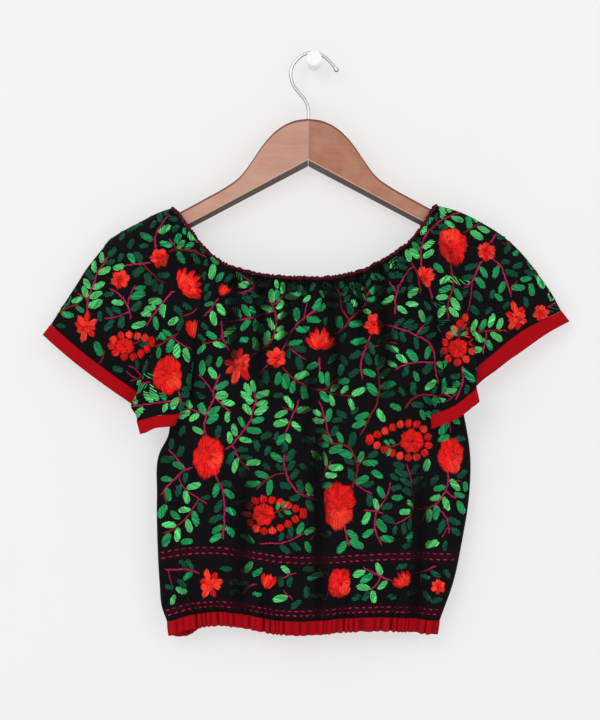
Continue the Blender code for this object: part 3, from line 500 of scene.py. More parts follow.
def sleeve_half(side, face, share, v):
    """Front or back half of a sleeve; share runs from the seam, 0, to the shoulder line, 1."""
    outward = -1.0 if face == "front" else 1.0
    cuff_rows = rings((CUFF_FRONT if face == "front" else CUFF_BACK)[side])
    cuff = smooth(cuff_rows, share)
    neck = smooth(rings(SLEEVE_NECK[side]), share)
    if face == "back":
        neck[:, 2] = 2 * HANG_PLANE - neck[:, 2]
    shoulder = np.column_stack([smooth(places(SHOULDER_LINE[side])[::-1], v), np.full(len(v), HANG_PLANE)])
    shoulder[:, 2] += (cuff_rows[-1][2] - HANG_PLANE) * (1 - v)
    raglan = np.clip((v - SLEEVE_UNDERARM_AT) / (1 - SLEEVE_UNDERARM_AT), 0, 1)
    raglan_rows = places(RAGLAN_SEAM[side])
    seam_low = smooth([cuff_rows[0][:2], raglan_rows[0]], np.clip(v / SLEEVE_UNDERARM_AT, 0, 1))
    seam_high = smooth(raglan_rows, raglan)
    seam_flat = np.where((v <= SLEEVE_UNDERARM_AT)[:, None], seam_low, seam_high)
    ease = step_up(v, 0.0, SLEEVE_UNDERARM_AT) * (1 - step_up(raglan, 0.0, 0.3))
    seam_flat[:, 0] += sleeve_facing(side) * UNDERARM_EASE * ease
    body_v = UNDERARM_AT + (1 - UNDERARM_AT) * raglan
    seam_y = HANG_PLANE + outward * body_half_depth(body_v) * seam_depth_share(raglan)
    seam = np.column_stack([seam_flat, seam_y])
    roundness = CUFF_ROUNDNESS + (SHOULDER_ROUNDNESS - CUFF_ROUNDNESS) * step_up(v[:, None], 0.3, 0.6)
    turn = 1 - (1 - share[None] ** roundness) ** (1 / SHOULDER_FULLNESS)
    flat_turn = np.broadcast_to(share, turn.shape)
    blend = np.stack([flat_turn, flat_turn, turn], axis=-1)
    if (side, face) == ("left", "front"):
        held_out = step_up(v, 0.0, 0.12) * (1 - step_up(v, 0.2, 0.6))
        push = FLUTE_PUSH * held_out[:, None] * np.exp(-((share[None] - FLUTE_EDGE) / FLUTE_WIDTH) ** 2)
    else:
        push = np.zeros_like(turn)
    cuff_part = np.stack([(1 - v) ** FLUTE_FADE, (1 - v) ** FLUTE_FADE, (1 - v) ** DEPTH_FADE], axis=-1)
    cuff_part = cuff_part[:, None]
    neck_part = v[:, None, None]
    net = (1 - blend) * seam[:, None] + blend * shoulder[:, None]
    net += cuff_part * (cuff[None] - (1 - blend) * seam[:1, None] - blend * shoulder[:1, None])
    net += neck_part * (neck[None] - (1 - blend) * seam[-1:, None] - blend * shoulder[-1:, None])
    net[..., 0] += push
    return net[..., [0, 2, 1]]


def sleeve_panel(side, u, v, plain=False):
    """Middle surface of a sleeve; u runs from the front seam over the shoulder to the back seam."""
    front = sleeve_half(side, "front", 2 * u[u < 0.5], v)
    back = sleeve_half(side, "back", 2 * (1 - u[u >= 0.5]), v)
    base = np.concatenate([front, back], axis=1)
    if plain:
        return base
    cloth = bpy.context.scene.crop_top_cloth
    grid_u, grid_v = np.meshgrid(u, v)
    from_neck = (1 - grid_v) * SLEEVE_LENGTH
    edges = off_sides(grid_u, 0.12)
    crown = 1 - 0.85 * np.exp(-((grid_u - 0.5) / 0.09) ** 2)
    height = standing(SLEEVE_FINE, from_neck) * fine_gathers(grid_u, cloth.sleeve_gathers, GATHER_SWAY[side])
    for ripple in SLEEVE_RIPPLES:
        along = step_up(grid_v, ripple.low, ripple.low + 0.3) * step_up(ripple.high - grid_v, 0.0, 0.25)
        height = height + ripple.depth * np.exp(-((grid_u - ripple.across) / ripple.width) ** 2) * along
    return base + grid_normals(base, sleeve_facing(side)) * (height * edges * crown)[..., None]


def grid_normals(points, facing, closed=False):
    """Unit normals of a grid of points, each the mean of the normals of the cells around it."""
    grid = np.concatenate([points, points[:, :1]], axis=1) if closed else points
    cells = unit(np.cross(grid[1:, 1:] - grid[:-1, :-1], grid[1:, :-1] - grid[:-1, 1:]))
    rows, columns = points.shape[:2]
    total = np.zeros(grid.shape)
    for r in (0, 1):
        for c in (0, 1):
            total[r:r + cells.shape[0], c:c + cells.shape[1]] += cells
    if closed:
        total[:, 0] += total[:, -1]
    return unit(total[:rows, :columns]) * facing


def bowed(points):
    """The hanger's gentle bow: points go back toward the wall away from its middle."""
    moved = np.array(points, float)
    moved[..., 1] += TIP_BOW * ((moved[..., 0] - HANGER_MIDDLE) / HANGER_HALF_LENGTH) ** 2
    return moved


def panel_points(key, u, v, plain=False):
    """Middle surface of any of the four panels; the plain one has neither creases nor gathers."""
    if key in ("front", "back"):
        return body_panel(key, u, v, plain)
    return sleeve_panel(key, u, v, plain)


def panel_facing(key):
    return {"front": 1.0, "back": -1.0}.get(key) or sleeve_facing(key)


def panel_rows(key, step):
    """Rows of a panel's grid, closer together at its gathered edges."""
    length = BODY_LENGTH if key in ("front", "back") else SLEEVE_LENGTH
    heights = [0.0]
    while heights[-1] < length:
        here = heights[-1]
        near = min(here, length - here)
        heights.append(here + step * (0.5 + 0.5 * min(1.0, near / FINE_ROWS_REACH)))
    return np.array(heights) / heights[-1]


def share_normals(*edges):
    """Turns the normals of two edges at one seam to their mean, so their walls meet."""
    mean = unit(edges[0] + edges[1])
    for edge in edges:
        edge[...] = mean


class Sewing:
    """Grids of the four panels with normals that agree along their seams."""

    names = {"front": "front_panel", "back": "back_panel", "left": "left_sleeve", "right": "right_sleeve"}
    nodes = {"front": "front", "back": "back", "left": "sleeve_left", "right": "sleeve_right"}

    def __init__(self):
        cloth = bpy.context.scene.crop_top_cloth
        columns = {"front": cloth.body_columns, "back": cloth.body_columns,
                   "left": cloth.sleeve_columns, "right": cloth.sleeve_columns}
        body_rows = panel_rows("front", cloth.row_step)
        low = int(np.argmin(np.abs(body_rows - UNDERARM_AT)))
        body_rows[low] = UNDERARM_AT
        sleeve_low = np.linspace(0, SLEEVE_UNDERARM_AT, SLEEVE_LOW_ROWS)
        above = (body_rows[low + 1:] - UNDERARM_AT) / (1 - UNDERARM_AT)
        sleeve_rows = np.concatenate([sleeve_low, SLEEVE_UNDERARM_AT + (1 - SLEEVE_UNDERARM_AT) * above])
        self.u = {key: np.linspace(0, 1, count + 1) for key, count in columns.items()}
        self.v = {"front": body_rows, "back": body_rows, "left": sleeve_rows, "right": sleeve_rows}
        self.points = {key: panel_points(key, self.u[key], self.v[key]) for key in self.u}
        self.normals = {key: grid_normals(self.points[key], panel_facing(key)) for key in self.u}
        first = len(sleeve_low)
        for column, side in ((0, "left"), (-1, "right")):
            share_normals(self.normals["front"][:low + 1, column], self.normals["back"][:low + 1, column])
            share_normals(self.normals["front"][low + 1:, column], self.normals[side][first:, 0])
            share_normals(self.normals["back"][low + 1:, column], self.normals[side][first:, -1])
            share_normals(self.normals[side][:first, 0], self.normals[side][:first, -1])


def mesh_piece(name, points, faces, materials, slots=None):
    """New mesh object from points in millimetres."""
    mesh = bpy.data.meshes.new(name)
    mesh.from_pydata((np.asarray(points) * MM).tolist(), [], faces)
    for material in materials:
        mesh.materials.append(material)
    if slots is not None:
        mesh.polygons.foreach_set("material_index", slots)
    mesh.shade_smooth()
    mesh.validate()
    made = bpy.data.objects.new(name, mesh)
    bpy.context.collection.objects.link(made)
    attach(made, "root")
    return made


def shell_faces(rows, columns, closed):
    """Quads of the outer skin, the inner skin and the rims between them."""
    wrap = columns if closed else columns - 1
    index = np.arange(rows * columns).reshape(rows, columns)
    right = np.roll(index, -1, axis=1)
    low, low_right = index[:-1, :wrap], right[:-1, :wrap]
    top, top_right = index[1:, :wrap], right[1:, :wrap]
    outer = np.stack([low, low_right, top_right, top], axis=-1).reshape(-1, 4)
    other = rows * columns
    faces = [outer, outer[:, ::-1] + other]
    for row, way in ((0, 1), (rows - 1, -1)):
        a, b = index[row, :wrap], right[row, :wrap]
        faces.append(np.column_stack([b, a, a + other, b + other])[:, ::way])
    if not closed:
        for column, way in ((0, -1), (columns - 1, 1)):
            a, b = index[:-1, column], index[1:, column]
            faces.append(np.column_stack([b, a, a + other, b + other])[:, ::way])
    return np.concatenate(faces)


def shell(name, points, normals, half_walls, finish, closed=False, tint=None):
    """Thin closed shell of cloth around a grid of middle points; tint is a value kept on its points."""
    rows, columns = points.shape[:2]
    offsets = normals * half_walls
    skins = [bowed(points + offsets).reshape(-1, 3), bowed(points - offsets).reshape(-1, 3)]
    faces = shell_faces(rows, columns, closed)
    across = np.cross(points[0, 1] - points[0, 0], points[1, 0] - points[0, 0])
    if np.dot(across, normals[0, 0]) < 0:
        faces = faces[:, ::-1]
    made = mesh_piece(name, np.concatenate(skins), faces.tolist(), [finish])
    if tint is not None:
        values = np.concatenate([tint.reshape(-1), tint.reshape(-1)]).astype(np.float32)
        made.data.attributes.new("tint", "FLOAT", "POINT").data.foreach_set("value", values)
    return made


# Needlework


class Ground:
    """A panel's grid for needlework: where a place in u and v lies, and how millimetres run there."""

    def __init__(self, sewing, key):
        self.u, self.v = sewing.u[key], sewing.v[key]
        self.points, self.normals = sewing.points[key], sewing.normals[key]
        self.plain = plain = panel_points(key, self.u, self.v, plain=True)
        facing = grid_normals(plain, panel_facing(key))
        along_u = np.gradient(plain, self.u, axis=1)
        along_v = np.gradient(plain, self.v, axis=0)
        upward = np.array([0.0, 0.0, 1.0])
        up = unit(upward - facing * (facing @ upward)[..., None])
        aside = np.cross(up, facing)
        matrix = np.stack([np.stack([(along_u * aside).sum(-1), (along_v * aside).sum(-1)], axis=-1),
                           np.stack([(along_u * up).sum(-1), (along_v * up).sum(-1)], axis=-1)], axis=-2)
        self.to_uv = np.linalg.inv(matrix)

    def cell(self, uv):
        """Grid cell and the shares across it of places in u and v."""
        uv = np.asarray(uv, float)
        column = np.clip(np.searchsorted(self.u, uv[..., 0], side="right") - 1, 0, len(self.u) - 2)
        row = np.clip(np.searchsorted(self.v, uv[..., 1], side="right") - 1, 0, len(self.v) - 2)
        across = (uv[..., 0] - self.u[column]) / (self.u[column + 1] - self.u[column])
        up = (uv[..., 1] - self.v[row]) / (self.v[row + 1] - self.v[row])
        return row, column, np.clip(up, 0, 1)[..., None], np.clip(across, 0, 1)[..., None]

    def blend(self, grid, uv):
        row, column, up, across = self.cell(uv)
        low = grid[row, column] * (1 - across) + grid[row, column + 1] * across
        high = grid[row + 1, column] * (1 - across) + grid[row + 1, column + 1] * across
        return low * (1 - up) + high * up

    def matrix(self, uv):
        row, column, _, _ = self.cell(uv)
        return self.to_uv[row, column]

    def find(self, x, z, front=True):
        """Place in u and v of the outermost cloth at x and z, as seen from the front or the back."""
        apart = np.hypot(self.points[..., 0] - x, self.points[..., 2] - z)
        near = apart < apart.min() + FIND_REACH
        depth = self.points[..., 1] if front else -self.points[..., 1]
        score = np.where(near, depth + 0.2 * apart, np.inf)
        row, column = np.unravel_index(np.argmin(score), score.shape)
        return np.array([self.u[column], self.v[row]])


def pointing(angle):
    """Unit vector at an angle from the panel's upward direction."""
    return np.array([math.sin(angle), math.cos(angle)])


def aside_of(way):
    return np.array([way[1], -way[0]])


class Needlework:
    """Stitches of one panel, kept as rows and turned into one mesh at the end.

    A spot is a place in u and v with the matrix that turns millimetres around it into u and v.
    """

    def __init__(self, ground, seed, bounds):
        self.ground = ground
        self.draw = random.Random(seed)
        self.low, self.high = bounds
        self.rows = []
        self.twigs = []
        self.taken = np.zeros((MOST_MARKS, 4))
        self.count = 0

    def spot(self, uv):
        return np.array(uv, float), self.ground.matrix(uv)

    def shifted(self, spot, a, b):
        uv, matrix = spot
        return uv + matrix @ np.array([a, b])

    def ahead(self, spot, heading, distance):
        """Place in u and v at a distance from a spot."""
        return self.shifted(spot, distance * math.sin(heading), distance * math.cos(heading))

    def inside(self, uv):
        return bool(self.low[0] < uv[0] < self.high[0] and self.low[1] < uv[1] < self.high[1])

    def mark(self, uvs, radius):
        points = self.ground.blend(self.ground.points, np.asarray(uvs))
        end = self.count + len(points)
        self.taken[self.count:end, :3] = points
        self.taken[self.count:end, 3] = radius
        self.count = end

    def room(self, uvs):
        """Smallest distance from the places to what is sewn already."""
        if not self.count:
            return 1000.0
        points = self.ground.blend(self.ground.points, np.asarray(uvs))
        taken = self.taken[:self.count]
        apart = np.linalg.norm(points[:, None] - taken[None, :, :3], axis=-1) - taken[None, :, 3]
        return float(apart.min())

    def stitch(self, spot, start, end, thread, width=1.15, lift=0.0, height=0.45, shade=1.0):
        self.rows.append((*self.shifted(spot, *start), *self.shifted(spot, *end),
                          width, lift, height, shade, thread, math.dist(start, end)))

    def satin(self, spot, centre, long, wide, angle, slant, thread, gap=1.0, lift=0.0, jag=0.6, glow=1.0,
              point=0.0, shades=(0.62, 1.12)):
        """Oval filled with slanted stitches; point tells how much its two ends are narrowed."""
        axis = pointing(angle)
        side = aside_of(axis)
        run = pointing(slant)
        step = aside_of(run)
        reach = math.sqrt((long * step[1]) ** 2 + (wide * step[0]) ** 2)
        offset = -reach + gap * 0.45
        while offset < reach - gap * 0.2:
            base = step * offset
            a = (run[1] / long) ** 2 + (run[0] / wide) ** 2
            b = 2 * (base[1] * run[1] / long**2 + base[0] * run[0] / wide**2)
            c = (base[1] / long) ** 2 + (base[0] / wide) ** 2 - 1
            room = b * b - 4 * a * c
            if room > 0:
                root = math.sqrt(room) * (1 - point * (offset / reach) ** 2)
                ends = [(-b + sign * root) / (2 * a) + sign * self.draw.uniform(-0.4, 1.0) * jag
                        for sign in (-1, 1)]
                if ends[1] - ends[0] > 1.2:
                    local = [base + run * end for end in ends]
                    flat = [np.array(centre) + side * place[0] + axis * place[1] for place in local]
                    bright = 1.5 if self.draw.random() < 0.3 else 1.0
                    self.stitch(spot, flat[0], flat[1], thread, width=gap * 1.12, lift=lift, height=0.6,
                                shade=glow * bright * self.draw.uniform(*shades))
            offset += gap * self.draw.uniform(0.9, 1.1)

    def leaf(self, spot, base, angle, long, wide, thread, check=True):
        """Leaf whose stalk end is at base; returns False where there is no room for it."""
        axis = pointing(angle)
        foot = np.array(base)
        along = [self.shifted(spot, *(foot + axis * long * share)) for share in (0.2, 0.5, 0.75, 1.0)]
        if not all(self.inside(uv) for uv in along):
            return False
        flank = aside_of(axis) * wide / 2
        sides = [self.shifted(spot, *(foot + axis * long * 0.5 + flank * sign)) for sign in (-1, 1)]
        corners = self.ground.blend(self.ground.points, np.array([along[0], along[3], *sides]))
        if (np.linalg.norm(corners[1] - corners[0]) > LEAF_STRETCH[0] * long
                or np.linalg.norm(corners[3] - corners[2]) > LEAF_STRETCH[1] * wide):
            return False
        if check and (self.room(along[1:2]) < wide * 0.36 or self.room(along[2:3]) < wide * 0.42
                      or self.room(along[3:]) < 0.6):
            return False
        self.mark(along[:3], wide * 0.42)
        here = self.spot(along[1])
        slant = self.draw.choice((-1, 1)) * self.draw.uniform(0.35, 0.75)
        self.satin(here, (0.0, 0.0), long / 2, wide / 2, angle, slant, thread, gap=1.5, jag=1.2,
                   glow=self.draw.uniform(0.88, 1.12), point=0.42)
        if thread != FOREST:
            self.outline(here, axis * long / 2, flank, 1.15 if thread == MINT else 0.5)
        return True

    def outline(self, spot, tip, flank, glow):
        """Pale stem stitches around a leaf, where the cloth under it lies nearly flat."""
        uvs = [self.shifted(spot, *place) for place in (tip, -tip, flank, -flank, 0 * tip)]
        points = self.ground.blend(self.ground.points, np.array(uvs))
        bend = max(np.linalg.norm((points[k] + points[k + 1]) / 2 - points[4]) for k in (0, 2))
        if bend > LEAF_BEND:
            return
        turns = np.linspace(0.2, 0.2 + 2 * math.pi, 9)
        corners = [tip * math.cos(turn) * 0.98 + flank * math.sin(turn) * 0.9 * abs(math.sin(turn)) ** 0.35
                   for turn in turns]
        for first, last in zip(corners[:-1], corners[1:]):
            self.stitch(spot, first, last + (last - first) * 0.12, MINT, width=0.8, lift=0.12, height=0.55,
                        shade=glow * self.draw.uniform(0.7, 1.2))

    def mark_disc(self, spot, radius, centre=(0.0, 0.0)):
        uvs = [self.shifted(spot, *centre)]
        for k in range(8):
            angle = k * math.pi / 4
            uvs.append(self.shifted(spot, centre[0] + 0.62 * radius * math.sin(angle),
                                    centre[1] + 0.62 * radius * math.cos(angle)))
        self.mark(uvs, radius * 0.4)

    def petal(self, spot, angle, near, far, wide, thread, lift=0.0, foot=(0.0, 0.0)):
        """Oval of stitches that points away from the flower's foot."""
        middle = (near + far) / 2
        centre = (foot[0] + middle * math.sin(angle), foot[1] + middle * math.cos(angle))
        self.satin(spot, centre, (far - near) / 2, wide / 2, angle, self.draw.uniform(-0.25, 0.25), thread,
                   gap=1.3, lift=lift, jag=1.1, glow=self.draw.uniform(0.86, 1.1), shades=(0.84, 1.12))

    def carnation(self, spot, size, turn):
        """Dense head of ragged petals, lighter on one side."""
        count = 10
        for k in range(count):
            angle = turn + 2 * math.pi * k / count + self.draw.uniform(-0.08, 0.08)
            tall = 1.02 + 0.19 * math.cos(2 * (angle - 0.1 * turn))
            far = size * tall * self.draw.uniform(0.9, 1.08)
            self.petal(spot, angle, size * 0.26, far, size * 0.76, CORAL if k in (2, 3) else SCARLET)
        for k in range(7):
            angle = turn + 0.4 + 2 * math.pi * k / 7 + self.draw.uniform(-0.1, 0.1)
            tall = 1 + 0.14 * math.cos(2 * (angle - 0.2 * turn))
            self.petal(spot, angle, size * 0.05, size * tall * self.draw.uniform(0.62, 0.74), size * 0.5,
                       CORAL if k in (1, 2) else SCARLET, lift=0.35)
        for k in range(4):
            angle = turn + math.pi / 2 * k + self.draw.uniform(-0.2, 0.2)
            self.petal(spot, angle, 0.2, size * 0.36, size * 0.3, CRIMSON if k == 1 else SCARLET, lift=0.65)
        self.satin(spot, (0.0, 0.0), size * 0.2, size * 0.16, turn, turn + 0.5, SCARLET, gap=1.2, lift=0.95,
                   shades=(0.9, 1.1))
        self.mark_disc(spot, size)

    def rosette(self, spot, size, turn):
        """Small open flower with a red heart."""
        for k in range(6):
            angle = turn + 2 * math.pi * k / 6 + self.draw.uniform(-0.1, 0.1)
            self.petal(spot, angle, size * 0.2, size * self.draw.uniform(0.95, 1.1), size * 0.72,
                       SCARLET if k == 3 else CORAL)
        for k in range(4):
            self.petal(spot, turn + 0.5 + math.pi / 2 * k, 0.2, size * 0.5, size * 0.42, SCARLET, lift=0.35)
        self.mark_disc(spot, size)

    def daisy(self, spot, size, turn):
        """Separate long petals around a small heart."""
        for k in range(8):
            angle = turn + k * math.pi / 4 + self.draw.uniform(-0.15, 0.15)
            far = size * (1 + 0.2 * math.cos(2 * angle)) * self.draw.uniform(0.82, 1.16)
            self.petal(spot, angle, size * 0.22, far, size * self.draw.uniform(0.4, 0.52),
                       CORAL if k % 3 else SCARLET)
        for k in range(5):
            angle = turn + 0.3 + k * 2 * math.pi / 5
            self.petal(spot, angle, 0.2, size * self.draw.uniform(0.42, 0.6), size * 0.34,
                       SCARLET if k % 2 else CORAL, lift=0.35)
        self.mark_disc(spot, size)

    def cockscomb(self, spot, size, turn):
        """Fan of long petals in three layers."""
        foot = (-0.55 * size * math.sin(turn), -0.55 * size * math.cos(turn))
        layers = ((7, 1.05, 1.6, SCARLET), (5, 0.7, 1.2, CORAL), (3, 0.35, 0.8, SCARLET))
        for layer, (count, spread, far, thread) in enumerate(layers):
            for k in range(count):
                angle = turn + spread * (2 * k / (count - 1) - 1) + self.draw.uniform(-0.05, 0.05)
                reach = size * far * (1 - 0.16 * abs(angle - turn)) * self.draw.uniform(0.94, 1.06)
                self.petal(spot, angle, size * 0.12, reach, size * 0.42, thread, 0.3 * layer, foot)
        self.mark_disc(spot, size)

    def tulip(self, spot, size, turn):
        """Closed bud of three petals."""
        foot = (-0.6 * size * math.sin(turn), -0.6 * size * math.cos(turn))
        for lean in (-0.42, 0.42, 0.0):
            self.petal(spot, turn + lean, 0.0, size * 1.45, size * 0.62, CORAL if lean == 0 else SCARLET,
                       0.3 * (lean == 0.0), foot)
        self.mark_disc(spot, size * 0.8)

    def paisley(self, spot, size, turn):
        """Teardrop of petal dots around a round head, with a leafy sprig inside it."""
        outline = []
        for k in range(240):
            t = 2 * math.pi * k / 240
            wide = math.sin(t) * math.sin(t / 2) ** 1.4
            curl = 0.32 * ((1 + math.cos(t)) / 2) ** 2
            outline.append((size * (0.78 * wide + curl), size * math.cos(t)))
        outline = np.array(outline + outline[:1])
        outline = outline @ np.array([[math.cos(turn), -math.sin(turn)], [math.sin(turn), math.cos(turn)]])
        steps = np.linalg.norm(np.diff(outline, axis=0), axis=1)
        total = np.concatenate(([0.0], np.cumsum(steps)))
        count = int(total[-1] / 8.9)
        middle = outline.mean(axis=0)
        for k in range(count):
            at = total[-1] * (k + 0.5) / count
            place, ahead = (np.array([np.interp(along, total, outline[:, axis]) for axis in (0, 1)])
                            for along in (at, at + 1))
            way = ahead - place
            across = aside_of(way) / np.linalg.norm(way)
            if np.dot(across, place - middle) < 0:
                across = -across
            angle = math.atan2(across[0], across[1])
            thread = self.draw.choice((SCARLET, SCARLET, CORAL))
            here = self.spot(self.shifted(spot, *place))
            self.satin(here, (0.0, 0.0), 4.9, 4.0, angle, self.draw.uniform(-0.2, 0.2), thread,
                       gap=1.15, jag=1.0)
            self.mark([self.shifted(spot, *place)], 3.9)
        down = np.array([-math.sin(turn), -math.cos(turn)])
        head = tuple(down * size * 0.45)
        for k in range(7):
            self.petal(spot, 2 * math.pi * k / 7, size * 0.08, size * 0.41, size * 0.3, SCARLET, 0.1, head)
        for k in range(4):
            self.petal(spot, 0.4 + math.pi / 2 * k, 0.2, size * 0.24, size * 0.2,
                       CRIMSON if k % 2 else SCARLET, 0.45, head)
        self.mark_disc(spot, size * 0.4, head)
        stem_from = self.shifted(spot, *(down * size * 0.1))
        self.vine(stem_from, turn, size * 0.5, 0.0, WINE, leaf_gap=6.0, leaf_size=0.55, check=False,
                  shades=(FOREST, LEAF, LEAF), fork=False)

    def vine(self, start, heading, length, bend, thread, thick=0.7, leaf_gap=10.0, leaf_size=1.0,
             check=True, shades=(MINT, LEAF, FOREST), fork=True):
        """Stem stitches along a curve, with leaves on both sides; returns the length that was sewn."""
        stops, gone = self.route(start, heading, length, bend, check)
        if gone < SHORTEST_VINE:
            return 0.0
        leaves = self.foliage(stops, leaf_gap, leaf_size, shades, check)
        if check and leaves < 1 + gone / 25.0:
            if not leaves:
                return 0.0
            stops = stops[:max(6, len(stops) // 2)]
        self.stem(stops, thread, thick)
        if check:
            self.twigs += stops[3:-1:3]
        if fork:
            self.forks(stops, gone, thread, shades)
        if check and self.draw.random() < 0.8:
            spot, way = stops[-1]
            tip = self.ahead(spot, way, 2.0)
            self.leaf(self.spot(tip), (0.0, 0.0), way + self.draw.uniform(-0.3, 0.3),
                      14.0 * leaf_size, 7.2 * leaf_size, self.draw.choice(shades))
        return gone

    def route(self, start, heading, length, bend, check):
        """Spots along a vine, each with its heading, as far as there is room; and the length they make."""
        uv = np.array(start, float)
        stops = []
        gone = 0.0
        while gone < length:
            spot = self.spot(uv)
            ahead = self.ahead(spot, heading, 7.0)
            if not self.inside(ahead) or (check and gone > 3.0 and self.room([ahead]) < 2.2):
                break
            stops.append((spot, heading))
            uv = self.ahead(spot, heading, VINE_STEP)
            heading += bend * VINE_STEP + self.draw.uniform(-0.15, 0.15)
            gone += VINE_STEP
        return stops, gone

    def foliage(self, stops, leaf_gap, leaf_size, shades, check):
        """Leaves on alternate sides of a vine, often in pairs; returns how many had room."""
        next_leaf = self.draw.uniform(3.0, 6.0)
        side = self.draw.choice((-1, 1))
        main = self.draw.choice(shades)
        leaves = 0
        for k, (spot, way) in enumerate(stops):
            if k * VINE_STEP < next_leaf:
                continue
            next_leaf += leaf_gap * self.draw.uniform(0.8, 1.25)
            across = aside_of(pointing(way))
            both = self.draw.random() < 0.55
            for which in ((side, -side) if both else (side,)):
                long = self.draw.uniform(13.5, 18.0) * leaf_size
                wide = long * self.draw.uniform(0.43, 0.54)
                angle = way + which * self.draw.uniform(0.65, 1.15)
                thread = main if self.draw.random() < 0.65 else self.draw.choice(shades)
                base = across * which * 1.6
                for shrink in (1.0, 0.8):
                    if self.leaf(spot, base, angle, long * shrink, wide * shrink, thread, check):
                        leaves += 1
                        break
            side = -side
        return leaves

    def stem(self, stops, thread, thick):
        """Slanted stem stitches that overlap from spot to spot."""
        for spot, way in stops:
            along = pointing(way)
            across = aside_of(along)
            swing = self.draw.uniform(0.5, 1.4) * thick
            drift = across * self.draw.uniform(-0.3, 0.3)
            self.stitch(spot, drift - along * 2.4 - across * swing, drift + along * 2.4 + across * swing,
                        thread, width=0.95 + 0.6 * thick, height=0.6, shade=self.draw.uniform(0.65, 1.3))
        self.mark([spot[0] for spot, _ in stops[::2]], 1.4)

    def forks(self, stops, gone, thread, shades):
        """Up to two thin side vines of a long vine."""
        for share in (0.35, 0.7):
            if gone > 30.0 and self.draw.random() < 0.75:
                spot, way = stops[int(len(stops) * share)]
                turn_off = self.draw.choice((-1, 1)) * self.draw.uniform(0.55, 0.95)
                beside = self.ahead(spot, way + turn_off, 2.6)
                self.vine(beside, way + turn_off, self.draw.uniform(22, 46),
                          self.draw.uniform(-0.018, 0.018), thread, 0.45, fork=False, shades=shades)

    def running(self, v):
        """Running stitches across the panel along one of its rows."""
        u = np.linspace(self.low[0], self.high[0], 800)
        row = self.ground.blend(self.ground.points, np.column_stack([u, np.full(len(u), v)]))
        total = np.concatenate(([0.0], np.cumsum(np.linalg.norm(np.diff(row, axis=0), axis=1))))
        at = 1.5
        while at + 6 < total[-1]:
            long = self.draw.uniform(4.2, 5.6)
            ends = np.interp([at, at + long], total, u)
            drift = self.draw.uniform(-0.0012, 0.0012)
            self.rows.append((ends[0], v + drift, ends[1], v - drift, 1.6, 0.0, 0.5,
                              self.draw.uniform(0.8, 1.2), self.draw.choice(STEMS), long))
            at += long + self.draw.uniform(2.2, 3.6)
        self.mark(np.column_stack([u[::9], np.full(len(u[::9]), v)]), 2.0)

    def anywhere(self):
        return self.draw.uniform(self.low[0], self.high[0]), self.draw.uniform(self.low[1], self.high[1])

    def fill(self, tries, gap, length, thick, shades):
        """Sews vines wherever a disc of the panel is still bare."""
        for _ in range(tries):
            uv = self.anywhere()
            if self.room([uv]) < gap:
                continue
            bend = self.draw.uniform(-0.02, 0.02)
            thread = self.draw.choice(STEMS)
            if self.branch(np.array(uv), length, bend, thread, thick, shades):
                continue
            heading = self.draw.uniform(0, 2 * math.pi)
            self.vine(uv, heading, length, bend, thread, thick, shades=shades)
            back = self.ahead(self.spot(uv), heading, -2.6)
            self.vine(back, heading + math.pi, length * 0.6, bend, thread, thick, shades=shades)

    def branch(self, uv, length, bend, thread, thick, shades):
        """Sews a side vine from one of the nearest vines toward a bare place; tells whether one took."""
        if not self.twigs:
            return False
        target = self.ground.blend(self.ground.points, uv)
        feet = self.ground.blend(self.ground.points, np.array([spot[0] for spot, _ in self.twigs]))
        apart = np.linalg.norm(feet - target, axis=1)
        for index in np.argsort(apart)[:5]:
            spot, way = self.twigs[index]
            if apart[index] > FARTHEST_TWIG:
                return False
            aim_at = np.linalg.solve(spot[1], uv - spot[0])
            heading = math.atan2(aim_at[0], aim_at[1])
            if abs(math.sin(heading - way)) < 0.35:
                continue
            foot = self.ahead(spot, heading, 1.8)
            way_there = heading - 0.5 * bend * apart[index]
            if self.vine(foot, way_there, length, bend, thread, thick, shades=shades, fork=False):
                return True
        return False

    def scatter(self, tries, gap, shades):
        """Single leaves in the small bare places."""
        for _ in range(tries):
            uv = self.anywhere()
            if self.room([uv]) >= gap:
                long = self.draw.uniform(11.0, 15.0)
                self.leaf(self.spot(uv), (0.0, 0.0), self.draw.uniform(0, 2 * math.pi), long, long * 0.5,
                          self.draw.choice(shades))

    def edging(self, tries):
        """Leaves that crowd the gathered neck edge and point down from it."""
        for _ in range(tries):
            uv = (self.draw.uniform(self.low[0], self.high[0]), self.draw.uniform(0.9, 0.996))
            if self.room([uv]) >= 3.2:
                long = self.draw.uniform(9.0, 13.5)
                angle = self.draw.uniform(-0.9, 0.9) + math.pi
                thread = self.draw.choice((LEAF, FOREST, FOREST, MINT))
                self.leaf(self.spot(uv), (0.0, 0.0), angle, long, long * 0.52, thread)

    def plant(self, motifs, front=True):
        """Sews the large motifs, then the vines that leave them."""
        spots = [(motif, self.spot(self.ground.find(motif.x, motif.z, front))) for motif in motifs]
        for motif, spot in spots:
            getattr(self, motif.kind)(spot, motif.size, motif.turn)
        for motif, spot in spots:
            reach = motif.size * (1.15 if motif.kind == "paisley" else 1.0) + 2.0
            ways = self.draw.randint(3, 4)
            first = self.draw.uniform(0, 2 * math.pi)
            for k in range(ways):
                angle = first + 2 * math.pi * k / ways + self.draw.uniform(-0.3, 0.3)
                start = self.ahead(spot, angle, reach)
                if self.inside(start):
                    self.vine(start, angle + self.draw.uniform(-0.3, 0.3), self.draw.uniform(55, 100),
                              self.draw.choice((-1, 1)) * self.draw.uniform(0.006, 0.022),
                              self.draw.choice(STEMS), 1.0)

